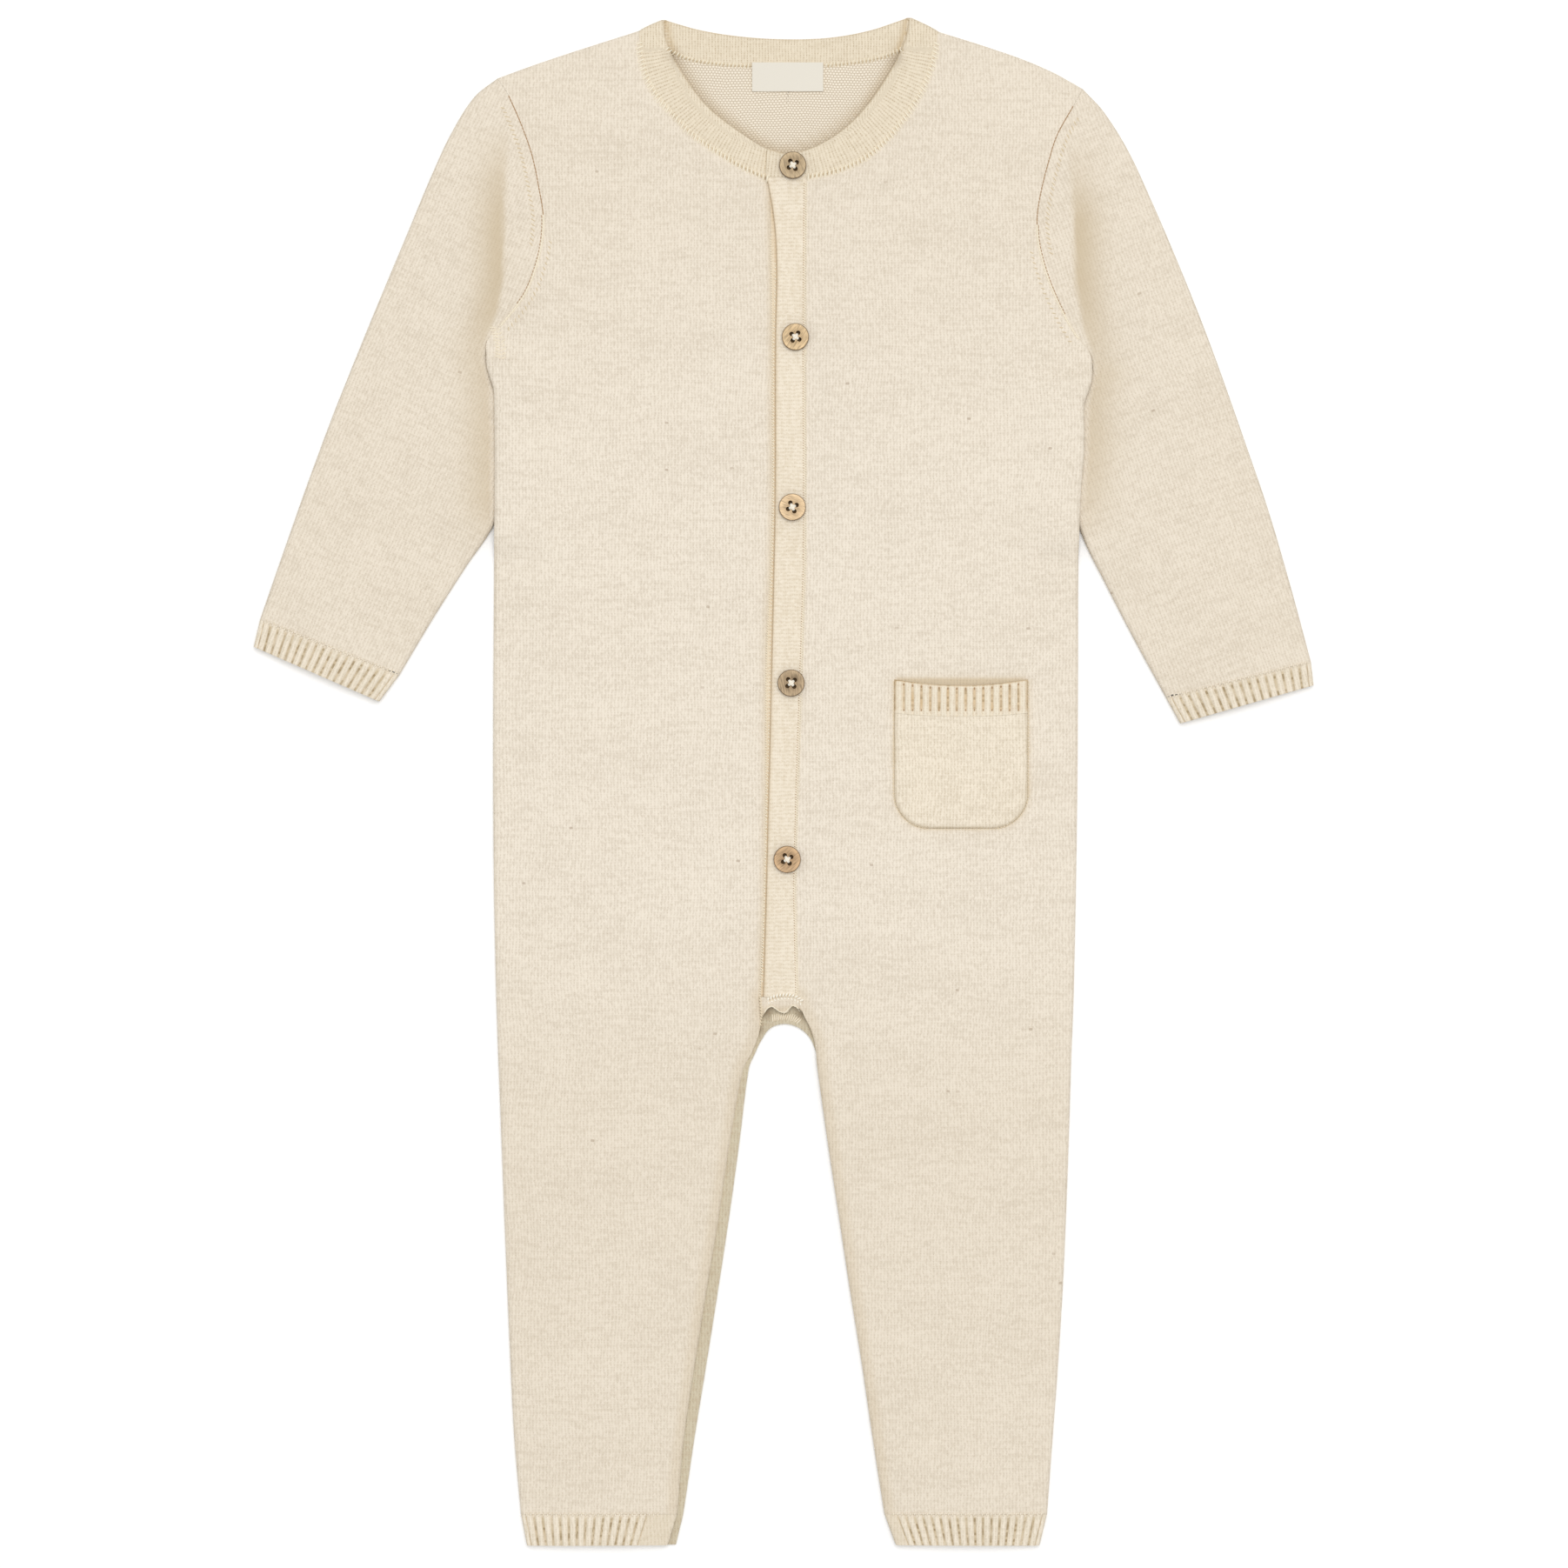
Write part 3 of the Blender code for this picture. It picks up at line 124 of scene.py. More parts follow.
# Side seams and armholes.
SIDE = {
    "right": {
        "leg": [(-111.4, -312.1), (-112.9, -296.9), (-116.9, -222.9), (-119.4, -160.0), (-121.0, -118.0)],
        "crotch": [(-121.0, -118.0), (-121.9, -92.0)],
        "trunk": [(-121.9, -92.0), (-122.8, -50.0), (-123.2, 0.0), (-122.8, 92.0)],
        "tuck": [(-122.8, 92.0), (-122.5, 120.0), (-122.5, 147.0), (-122.9, 166.0)],
        "underarm": [(-122.9, 166.0), (-124.7, 172.0), (-126.2, 178.0), (-126.3, 182.5), (-125.8, 187.0)],
        "yoke": [(-125.8, 187.0), (-118.0, 196.0), (-109.5, 207.0), (-104.7, 218.9), (-102.3, 229.6),
                 (-101.8, 240.0), (-103.6, 251.8)],
        "shoulder": [(-103.6, 251.8), (-106.6, 265.9), (-111.7, 280.3), (-116.6, 291.4), (-121.4, 298.8)],
    },
    "left": {
        "leg": [(112.5, -312.1), (113.6, -296.9), (118.8, -222.9), (121.5, -160.0), (122.8, -118.0)],
        "crotch": [(122.8, -118.0), (123.8, -92.0)],
        "trunk": [(123.8, -92.0), (124.7, -50.0), (125.4, 0.0), (125.8, 92.0)],
        "tuck": [(125.8, 92.0), (126.6, 120.0), (128.2, 139.0), (128.2, 160.0)],
        "underarm": [(128.2, 160.0), (130.0, 165.5), (131.5, 170.5), (131.8, 175.0), (131.0, 181.0)],
        "yoke": [(131.0, 181.0), (124.0, 190.5), (116.2, 205.0), (111.0, 218.9), (108.6, 229.2),
                 (108.2, 239.6), (110.0, 251.0)],
        "shoulder": [(110.0, 251.0), (112.9, 262.5), (116.2, 273.2), (123.6, 286.9), (127.7, 294.3)],
    },
}

# Inner edge of each front panel: inseam, crotch, placket seam, neckline.
FRONT_INNER = {
    "right": {
        "leg": [(-44.8, -312.1), (-44.0, -297.0), (-40.1, -267.0), (-33.3, -223.0), (-25.9, -178.5),
                (-18.9, -134.0), (-16.6, -123.0)],
        "crotch": [(-16.6, -123.0), (-11.8, -113.4), (-9.2, -103.7), (-9.0, -98.0), (-9.6, -92.0)],
        "trunk": [(-9.6, -92.0), (-7.8, -50.0), (-7.1, -10.0), (-7.0, 30.0), (-6.8, 64.0), (-5.0, 92.0)],
        "tuck": [(-5.0, 92.0), (-4.3, 120.0), (-4.4, 162.0)],
        "underarm": [(-4.4, 162.0), (-4.4, 182.0)],
        "yoke": [(-4.4, 182.0), (-5.0, 228.0), (-5.6, 255.6)],
        "shoulder": [(-5.6, 255.6), (-17.9, 261.4), (-28.3, 267.7), (-37.7, 274.0), (-45.9, 282.1),
                     (-53.3, 290.6), (-58.5, 299.9), (-60.5, 309.1), (-61.1, 319.1)],
    },
    "left": {
        "leg": [(43.3, -312.1), (40.7, -297.0), (36.6, -267.0), (29.6, -223.0), (22.9, -178.5),
                (16.3, -134.0), (14.6, -121.0)],
        "crotch": [(14.6, -121.0), (13.2, -110.0), (10.6, -103.0), (8.2, -98.0), (6.4, -92.0)],
        "trunk": [(6.4, -92.0), (5.4, -50.0), (6.4, -10.0), (7.2, 30.0), (9.1, 64.0), (9.6, 92.0)],
        "tuck": [(9.6, 92.0), (9.7, 120.0), (9.5, 162.0)],
        "underarm": [(9.5, 162.0), (9.5, 182.0)],
        "yoke": [(9.5, 182.0), (9.7, 228.0), (9.9, 256.4)],
        "shoulder": [(9.9, 256.4), (24.6, 259.8), (36.1, 265.5), (45.5, 274.0), (53.7, 284.3),
                     (59.9, 294.7), (64.0, 306.2), (66.2, 318.8)],
    },
}

# Free edge of the band that runs down both inner legs and round the crotch, on the back's side.
INSEAM_FREE = {
    "right": {
        "hem": [(-45.5, -325.2), (-42.4, -312.1)],
        "leg": [(-42.4, -312.1), (-40.3, -297.0), (-35.5, -267.0), (-28.5, -223.0), (-21.8, -178.5),
                (-17.8, -149.0), (-15.7, -134.0), (-14.4, -122.4)],
        "crotch": [(-14.4, -122.4), (-10.5, -113.4), (-6.3, -106.4), (-2.8, -103.9), (1.0, -103.6)],
    },
    "left": {
        "hem": [(49.0, -325.2), (44.0, -312.1)],
        "leg": [(44.0, -312.1), (41.4, -297.0), (37.3, -267.0), (30.3, -223.0), (23.6, -178.5),
                (17.0, -134.0), (15.0, -121.0)],
        "crotch": [(15.0, -121.0), (12.4, -110.8), (8.4, -106.2), (4.6, -104.3), (1.0, -103.6)],
    },
}
CROTCH_MIDDLE = (2.0, -93.4)  # top of the band at the middle of the back
BACK_NECK_MIDDLE = (2.0, 304.1)

# The band's outer edge, where the back panel's legs begin.
BACK_INNER = {
    "right": {
        "leg": [(-52.7, -312.1), (-50.6, -297.0), (-45.8, -267.0), (-38.8, -223.0), (-32.2, -178.5),
                (-26.6, -138.0), (-23.6, -118.0)],
        "crotch": [(-23.6, -118.0), (-18.9, -107.0), (-11.5, -97.6), (-4.6, -93.8), CROTCH_MIDDLE],
        "neck": [BACK_NECK_MIDDLE, (-27.4, 304.9), (-42.9, 307.9), (-52.5, 313.0), (-61.1, 319.1)],
    },
    "left": {
        "leg": [(52.2, -312.1), (49.5, -297.0), (45.4, -267.0), (38.4, -223.0), (31.8, -178.5),
                (25.6, -138.0), (23.4, -121.0)],
        "crotch": [(23.4, -121.0), (21.2, -106.5), (15.5, -98.2), (9.0, -94.8), CROTCH_MIDDLE],
        "neck": [BACK_NECK_MIDDLE, (25.0, 304.9), (42.2, 307.9), (55.0, 313.0), (66.2, 318.8)],
    },
}

# Sleeve outlines from the cuff to the armhole. The upper part of the inner edge lies under the trunk.
SLEEVE = {
    "right": {
        "top": [(-222.4, 68.6), (-210.5, 102.7), (-194.6, 147.1), (-176.9, 191.5), (-158.4, 235.9),
                (-145.8, 265.5), (-138.4, 280.3), (-130.5, 291.7), (-121.4, 298.8)],
        "under": [(-163.2, 45.0), (-155.8, 58.3), (-146.2, 73.1), (-136.9, 87.9), (-127.6, 102.0),
                  (-121.4, 112.0), (-118.6, 122.0), (-117.9, 138.0), (-119.0, 155.0), (-121.6, 166.0),
                  (-124.4, 174.0), (-126.2, 181.0), (-125.8, 187.0)],
        "hem": [(-225.1, 56.9), (-171.7, 33.6)],
    },
    "left": {
        "top": [(224.8, 50.5), (218.7, 73.1), (210.5, 102.7), (195.7, 147.1), (176.9, 198.9),
                (158.4, 243.3), (148.4, 265.5), (139.5, 280.3), (134.3, 287.7), (127.7, 294.3)],
        "under": [(163.2, 35.3), (158.4, 43.5), (150.6, 58.3), (142.8, 73.1), (135.4, 87.9),
                  (129.0, 101.0), (124.4, 111.0), (122.2, 122.0), (122.4, 136.0), (124.4, 152.0),
                  (127.2, 161.5), (129.9, 169.0), (131.7, 175.5), (131.0, 181.0)],
        "hem": [(225.9, 40.5), (169.2, 24.3)],
    },
}
SHOULDER_BOW = {"right": 0.5, "left": 2.3}  # how far the shoulder's fold bulges over a straight line
SHOULDER_BOW_SKEW = 1.4  # puts the bulge nearer the sleeve
SLEEVE_ARMHOLE_REACH = 0.55  # share of the sleeve, from the armhole, over which the armhole's curve dies out
SLEEVE_LENGTH = 200.0
SHOULDER_CROWDING = 1.3  # how much closer together the stations are near the shoulder than at the cuff
UNDERARM_CROWDING = 1.9  # the same, under the arm
UNDERARM_STEP = 5.0  # from the under fold to the next column at the armhole
UNDERARM_FAN = 14.0  # along the under fold, over which the stations turn from the armhole's line to square

# Leg hems: outer corner, then the front's inner corner.
LEG_HEM = {
    "right": [(-108.8, -325.4), (-48.8, -325.2)],
    "left": [(109.2, -325.4), (48.1, -325.2)],
}
LEG_RIB_END = {"right": 11.0, "left": 3.5}  # plain knit beside the inseam

# Neckband: its opening edge from the end at the front up to the shoulder, and the part of its seam edge that
# crosses the placket. The rest of its seam edge is the neckline of the panels.
NECK_FRONT = {
    "right": {
        "opening": [(9.0, 267.7), (1.9, 266.4), (-3.3, 267.2), (-11.8, 271.8), (-22.2, 278.6),
                    (-32.6, 287.3), (-39.6, 296.2), (-46.8, 308.2), (-50.0, 316.5), (-50.9, 324.0)],
        "end": [(8.8, 256.0), (-5.6, 255.6)],
    },
    "left": {
        "opening": [(-6.6, 268.6), (-1.0, 266.6), (5.0, 266.8), (14.2, 269.8), (24.6, 276.0),
                    (35.2, 286.4), (43.3, 297.7), (49.6, 309.1), (53.0, 318.0), (54.0, 325.0)],
        "end": [(-7.0, 256.4), (9.9, 256.4)],
    },
}
NECK_BACK = [(-50.9, 324.0), (-37.0, 319.9), (-19.2, 316.9), (0.0, 315.6), (22.2, 316.5), (37.0, 319.3),
             (54.0, 325.0)]

# Free edge of the placket's top band
PLACKET_FREE_EDGE = [(-8.2, -92.0), (-7.0, -50.0), (-6.0, -10.0), (-5.0, 30.0), (-4.4, 64.0), (-3.3, 110.0),
                     (-3.0, 190.0), (-2.6, 222.0), (-3.6, 238.0), (-5.2, 248.0), (-6.8, 255.6)]
CROTCH_TAB = [  # x, lower edge, how far that edge stands off
    (-9.4, -101.4, 0.0),
    (-7.8, -98.9, 0.2),
    (-6.1, -96.9, 0.6),
    (-4.6, -96.4, 0.8),
    (-2.9, -97.4, 0.5),
    (-0.9, -98.7, 0.2),
    (1.1, -98.8, 0.2),
    (2.7, -97.2, 0.5),
    (4.1, -96.0, 0.8),
    (5.8, -96.6, 0.5),
    (7.4, -98.6, 0.0),
]
CROTCH_TAB_TOP = -92.05
CROTCH_TAB_COLUMNS = 45
CROTCH_TAB_LAP = 0.2  # over the edge of the right front
CROTCH_TAB_ROWS = [  # share of the way down, share of the thickness
    (0.0, 1.0), (0.35, 1.0), (0.7, 1.0), (0.88, 0.9), (0.97, 0.65), (1.0, 0.3),
]

# Soft hollows pressed into the front: line, depth, half width.
TROUGHS = [
    ([(-118.5, 264.0), (-120.0, 236.0), (-120.6, 214.0), (-124.5, 196.0)], 2.0, 4.2),
    ([(125.5, 258.0), (126.2, 240.0), (126.8, 222.0), (129.5, 192.0)], 2.0, 3.8),
]

POCKET = {"left": 47.4, "right": 104.2, "bottom": -20.3, "seam": 28.6, "top": 43.0, "corner": 15.0,
          "sag": 2.6, "crown": 0.4, "gape": 0.9, "margin": 4.0, "thickness": 1.4}
POCKET_FIRST_TURN = 0.12  # radians from the bottom to the lowest row
POCKET_CORNER_ROWS = 14
POCKET_SIDE_ROWS = 22
POCKET_COLUMNS = 34
POCKET_EDGE = [  # from the edge, share of the thickness
    (0.0, 0.12), (0.3, 0.5), (0.8, 0.82), (1.5, 0.97), (2.4, 1.0),
]
POCKET_RIB_ROWS = [  # from the seam, from the top or None, share of the ribs' rise, share of the thickness
    (SEAM / 2, None, 0.3, 1.0),
    (1.2, None, 1.0, 1.0),
    (None, 2.0, 1.0, 1.0),
    (None, 0.7, 0.5, 0.95),
    (None, 0.2, 0.2, 0.75),
    (None, 0.0, 0.0, 0.45),
]

LABEL = {"left": -13.0, "right": 17.2, "bottom": 293.3, "top": 305.6, "thickness": 1.0, "dip": 0.2}

NECK_CENTRE = (1.5, 318.0)
NECK_RADIUS = 57.0  # of the neckband's middle line

# Relief of the lying cloth
RELIEF_RAMP = 2.5  # height over the floor from which a point moves by the whole relief
RIPPLE = 0.15
FINE_RIPPLE = 0.027
POCKET_GROOVE = (0.3, 2.2)  # depth, half width
NECK_GROOVE = (0.2, 2.2)
ARMHOLE_GROOVE = (0.3, 2.0)
CREASES = [  # line, depth of a trough or minus the height of a ridge, half width
    ([(55.5, -193.0), (60.0, -236.0), (64.8, -278.0), (68.5, -309.0)], 0.45, 7.0),
    ([(72.0, -196.0), (77.0, -250.0), (80.0, -300.0)], -0.3, 8.0),
    ([(101.8, -128.0), (106.0, -146.0), (109.0, -164.0)], 0.5, 8.0),
    ([(75.0, -272.0), (77.5, -277.0)], -0.45, 1.8),
    ([(76.0, -280.0), (79.5, -286.0)], -0.4, 1.8),
    ([(-38.9, -128.0), (-38.0, -160.0), (-42.0, -196.0)], 0.4, 7.0),
    ([(-58.0, -170.0), (-64.0, -230.0), (-70.0, -290.0)], -0.25, 9.0),
    ([(-98.0, -200.0), (-101.0, -250.0)], 0.35, 6.0),
    ([(-77.7, -45.0), (-75.0, -84.0)], 0.3, 9.0),
    ([(-13.0, -112.0), (-22.0, -100.0), (-36.0, -92.0)], 0.35, 4.0),
    ([(14.0, -108.0), (24.0, -98.0), (40.0, -92.0)], 0.35, 4.0),
    ([(-119.0, 188.0), (-140.0, 176.0), (-156.0, 160.0)], 0.45, 5.0),
    ([(-122.0, 168.0), (-140.0, 148.0)], 0.4, 4.0),
    ([(124.0, 184.0), (146.0, 172.0), (162.0, 154.0)], 0.45, 5.0),
    ([(128.0, 160.0), (146.0, 140.0)], 0.4, 4.0),
    ([(-178.0, 168.0), (-166.0, 130.0), (-150.0, 104.0)], 0.35, 7.0),
    ([(182.0, 160.0), (170.0, 122.0), (152.0, 96.0)], 0.35, 7.0),
    ([(-104.0, 172.0), (-96.0, 150.0), (-92.0, 120.0)], 0.3, 7.0),
    ([(110.0, 168.0), (100.0, 146.0), (96.0, 118.0)], 0.3, 7.0),
    ([(-9.5, -108.5), (-4.0, -101.6), (1.0, -100.0), (6.0, -101.0), (11.0, -106.5)], -0.6, 0.9),
    ([(-16.0, -118.0), (-10.5, -106.0), (-5.0, -98.4), (1.5, -97.0), (8.0, -98.4)], 0.5, 0.9),
]
# Painted warm shade beside lines: the most, the reach over which it dies out, and how far from the line that
# starts
WARM_SHADE_LINES = {
    "neck_inside": (0.6, 4.5, 0.5),
    "neckband": (0.9, 4.0, 0.0),
    "inseam": (0.32, 4.5, 2.0),
    "opening": (0.4, 3.2, 0.0),
    "round_pocket": (0.3, 2.2, 0.0),
    "pocket": (0.3, 1.4, 0.2),
}
NECK_INSIDE_FROM = 262.0  # y from which the inside of the back shows in the neck
# y from which the back part of the neckband has painted shade near the opening
NECKBAND_SHADE_FROM = 295.0
PURL_SHARE = 0.66  # how far painted shade darkens the gaps on the cloth's inside
PURL_LIGHT = (240, 230, 212)
VALLEYS = {  # line beside which the sleeve lies in shade, and how deep the shade is along it
    "right": [(-116.0, 280.0, 0.0), (-118.0, 256.0, 0.7), (-118.6, 236.0, 1.0), (-118.8, 214.0, 1.0),
              (-121.5, 199.0, 0.9), (-126.2, 188.0, 0.6), (-127.6, 180.0, 0.55), (-125.4, 168.0, 0.55),
              (-124.3, 147.0, 0.65), (-124.3, 118.0, 0.65), (-124.4, 98.0, 0.0)],
    "left": [(120.5, 274.0, 0.0), (122.8, 254.0, 0.45), (123.8, 238.0, 1.0), (124.4, 212.0, 1.0),
             (128.2, 191.0, 0.7), (132.0, 181.0, 0.45), (133.2, 174.0, 0.65), (130.4, 160.0, 0.65),
             (130.0, 139.0, 0.65), (128.4, 120.0, 0.5), (127.4, 102.0, 0.0)],
}
VALLEY_SHADE = 0.84
VALLEY_EDGE = 1.3  # the shade starts over this length, to both sides of the line
VALLEY_REACH = 10.0  # and dies out over this one
EDGE_SHADE = 0.6  # on surfaces that stand upright
SLEEVE_SHADE = 0.12
LEG_SHADE = 0.14
YOKE_SHADE = 0.1
UNDERARM = (110.0, 100.0, 190.0)  # least x to either side, least y and most y, where edges are hardly shaded
UNDERARM_SHARE = 0.15  # of their shade that is left there
PLAIN_SHADE = 0.28  # at the plain end of a leg's cuff
# Painted warm shade in the deepest grooves of ribs
GROOVE_SHADE = 0.85
HOLE_SHADOW = 3.4  # from a button's middle, on the cloth below its holes
# Painted shade in dark corners: x, y, reach, depth
CROTCH_SHADE_CORNERS = [(-7.2, -98.6, 2.6, 0.6), (-10.4, -106.0, 2.2, 0.5), (7.6, -99.4, 2.4, 0.5)]
NECK_SHADE_CORNERS = [(-46.2, 308.0, 3.6, 0.22), (48.6, 307.0, 3.6, 0.22)]
SHARP = 50.0  # degrees between two faces from which their edge is sharp

# Buttons: share of the radius or the hole, share of the thickness, and how burnt (2 is black). The rim is
# burnt; the values above 1 on the holes' walls are painted shade that turns them black.
BUTTON_GAP = 0.06
BUTTON_RIM = [(0.91, 1.0, 0.0), (0.94, 1.0, 0.15), (0.962, 0.985, 0.6), (0.985, 0.93, 0.85),
              (1.0, 0.80, 0.85), (1.0, 0.25, 0.85), (0.96, 0.06, 0.8), (0.90, 0.0, 0.5)]
HOLE_WALL = [(1.12, 1.0, 0.3), (1.0, 0.95, 1.6), (0.95, 0.7, 2.0), (0.95, 0.1, 2.0), (1.0, 0.0, 2.0)]
HOLE_RADIUS = 0.88
HOLE_REACH = 2.0  # from the button's middle to a hole's middle
BUTTON_CORNERS = 72
HOLE_CORNERS = 20
WOOD_SHIFT = 40  # mm of wood for each degree of turn, so that no two buttons are cut from the same place
THREAD_RADIUS = 0.27
THREAD_SPREAD = 0.42  # between two strands of a button's thread
THREAD_LAYER = 0.2  # how much higher the crossing strands lie
THREAD_SINK = 0.1  # how much lower the outer strands lie
THREAD_PATH = [(-1.5, -1.7), (-1.42, -0.5), (-1.18, 0.02), (-0.7, 0.3), (0.0, 0.4), (0.7, 0.3), (1.18, 0.02),
               (1.42, -0.5), (1.5, -1.7)]  # from the middle, over the button's top

# Cloth pieces: cell of the fine mesh, tilt of the wales from +Y in degrees, look, and the cut that shows as
# width, length and area in metres.
PIECE_COLUMNS = ("cell", "tilt", "look", "flat", "area")
PIECE_ROWS = {
    "back": (4.0, 0, "jersey", (0.257, 0.631), 0.1345),
    "front_right": (2.3, 0, "jersey", (0.123, 0.631), 0.0636),
    "front_left": (2.3, 0, "jersey", (0.126, 0.631), 0.0650),
    "sleeve_right": (2.2, -24.5, "jersey", (0.170, 0.260), 0.0300),
    "sleeve_left": (2.2, 20.5, "jersey", (0.170, 0.260), 0.0300),
    "cuff_sleeve_right": (1.1, -23.6, "rib", (0.122, 0.013), None),
    "cuff_sleeve_left": (1.1, 16.0, "rib", (0.122, 0.013), None),
    "cuff_leg_right": (1.1, 0, "rib", (0.126, 0.013), None),
    "cuff_leg_left": (1.1, 0, "rib", (0.126, 0.013), None),
    "neckband": (1.4, 0, "neck", (0.330, 0.012), None),
    "placket_under": (1.4, 90, "under", (0.016, 0.347), None),
    "placket_top": (1.4, 90, "band", (0.016, 0.347), None),
    "crotch_tab": (0.9, 0, "jersey", (0.015, 0.010), 0.0001),
    "inseam_band": (1.1, 0, "inseam", (0.485, 0.0102), None),
    "pocket": (1.2, 0, "pocket", (0.0568, 0.049), None),
    "pocket_rib": (0.9, 0, "pocket_rib", (0.0568, 0.0145), None),
    "label": (1.1, 0, "label", (0.0302, 0.0125), None),
}
CLOTH_PIECES = {node: dict(zip(PIECE_COLUMNS, row)) for node, row in PIECE_ROWS.items()}

# Knits: material, its light, dark, fleck and tan tones in sRGB, and what differs from knit_look's defaults.
# dark is the painted shade in the gaps between stitches, and tan the tone of the painted warm shade.
KNITS = {
    "jersey": ("oatmeal_jersey", (233, 223, 207), (172, 154, 128), (218, 207, 190), (204, 186, 156),
               {"gap_shade_share": 0.33, "specks": 0.4}),
    "pocket": ("pocket_jersey", (235, 224, 205), (176, 156, 122), (219, 207, 187), (206, 188, 156), {}),
    "rib": ("cream_rib", (234, 223, 205), (184, 164, 130), (221, 210, 190), (198, 181, 151), {"pit_shade": 0.6}),
    "pocket_rib": ("pocket_rib", (233, 223, 203), (190, 164, 128), (224, 211, 190), (208, 184, 148),
                   {"pit_shade": 0.5}),
    "band": ("cream_band", (234, 223, 204), (178, 156, 120), (222, 209, 187), (210, 188, 154),
             {"wale": BAND_WALE, "course": BAND_COURSE, "gap_shade_share": 0.27}),
    "neck": ("neck_band", (228, 216, 194), (172, 150, 116), (218, 205, 182), (200, 178, 142),
             {"wale": NECK_WALE, "course": BAND_COURSE, "gap_shade_share": 0.62}),
    "under": ("under_band", (233, 220, 197), (182, 158, 124), (222, 207, 181), (206, 183, 150),
              {"wale": BAND_WALE, "course": BAND_COURSE}),
    # The inseam band's tones are the jersey's darkened by painted shade, as the band lies low at the inner
    # legs
    "inseam": ("inseam_band", (204, 194, 170), (156, 138, 108), (195, 181, 156), (186, 168, 134), {}),
}
SPECK = (132, 104, 78)  # a dark fibre
PIT_SHADE = (132, 110, 76)  # painted shade between two stitches in a rib's groove
# Painted shade in the darkest corners and on the cloth below the buttons' holes
DEEPEST_SHADE = (112, 88, 60)

# Sewing threads: light and dark tone in sRGB. shaded_gap and shaded_seam are dark thread that paints the
# shade in a seam's gaps and line.
THREADS = {
    "cream_thread": ((240, 231, 211), (216, 200, 170)),
    "pale_tan_thread": ((216, 200, 170), (196, 176, 142)),
    "light_tan_thread": ((228, 213, 186), (210, 192, 160)),
    "shaded_gap": ((206, 188, 156), (188, 168, 134)),
    "shaded_seam": ((178, 148, 116), (150, 120, 90)),
    "pale_thread": ((235, 224, 202), (222, 207, 180)),
    "white_thread": ((247, 241, 228), (222, 212, 190)),
    "button_thread": ((246, 240, 226), (218, 206, 184)),
}

# Lines that are sewn and aren't the edge of a piece
GUSSET = [(-123.6, 193.5), (-121.6, 187.0), (-121.2, 179.5)]  # under the right arm
CROTCH_SEAM = [(-6.6, -93.6), (-3.0, -92.0), (1.5, -91.4), (5.5, -92.2), (8.2, -94.2)]
CROTCH_INSIDE = [(-4.8, -101.0), (-1.5, -100.3), (2.0, -100.4), (5.5, -101.2), (7.4, -102.6)]
CROTCH_SIDE = (-104.5, -91.5)  # y, along the edge of the right front
BUTTONHOLE_END = ((4.4, -5.0), (4.2, -7.4))  # from the button's middle
BACK_NECK_SHOWN = (-50.0, 52.0)  # x
LOOK_DOWN_FROM = 50.0  # height above all cloth
THREAD_END = 0.55  # share of a thread's radius that is left at its ends
STITCH_POINTS = 5
THREAD_IN_CLOTH = 0.3  # share of a stitch's radius that lies below the cloth's top

# Rows of stitches: pitch along the line, reach across it to both sides, slant along it, the thread's radius,
# how far it stands off the cloth, and the seed of its unevenness
STITCHES = {
    # The gaps rows, placket_dots and armhole_shade are dark thread that paints the shade in a seam's gaps and
    # line
    "neck_front": (1.85, (-1.6, 1.2), 0.9, 0.5, 0.32, 31),
    "neck_gaps": (1.85, (-1.0, 0.5), 0.5, 0.2, 0.05, 41),
    "neck_back": (1.6, (-0.8, 1.2), 0.5, 0.36, 0.25, 32),
    "neck_back_gaps": (1.6, (-0.9, 0.5), 0.4, 0.2, 0.05, 42),
    "placket_seam": (COURSE, (-0.5, 0.9), 0.6, 0.26, 0.18, 33),
    "placket_dots": (COURSE, (-0.35, 0.2), 0.2, 0.17, 0.03, 43),
    "placket_edge": (1.6, (-0.25, 0.3), 0.75, 0.36, 0.15, 34),
    "placket_under": (COURSE, (-0.4, 0.5), 0.6, 0.32, 0.1, 52),
    "armhole_low": (1.5, (-0.15, 0.15), 1.7, 0.4, 0.16, 47),
    "armhole": (1.5, (0.0, 0.05), 1.6, 0.24, 0.07, 35),
    "armhole_shade": (1.5, (0.0, 0.05), 1.3, 0.18, 0.03, 51),
    "fashioned_sleeve": (2.1, (-0.9, 0.9), 1.3, 0.2, 0.08, 36),
    "fashioned_trunk": (2.3, (-0.7, 0.7), 1.1, 0.2, 0.08, 39),
    "gusset": (1.5, (-1.3, 1.3), 0.9, 0.3, 0.16, 48),
    "gusset_side": (1.7, (-0.9, 0.9), -0.8, 0.26, 0.12, 49),
    "pocket": (1.35, (-0.2, 0.15), 1.0, 0.28, 0.08, 37),
    "crotch": (1.3, (-0.2, 1.1), 0.8, 0.48, 0.35, 38),
    "crotch_low": (1.5, (-0.5, 0.4), -0.5, 0.4, 0.2, 54),
    "crotch_gaps": (1.3, (-0.6, 0.6), 0.3, 0.2, 0.05, 44),
    "crotch_inside": (0.95, (-1.7, 1.3), 0.5, 0.36, 0.2, 55),
    "crotch_side": (1.3, (-0.45, 0.5), 0.8, 0.36, 0.14, 50),
    "crotch_edge": (1.3, (-0.1, 0.1), 1.5, 0.3, 0.1, 45),
    "cuffs": (RIB_PITCH / 2, (-0.9, 0.9), 0.3, 0.36, 0.16, 46),
}

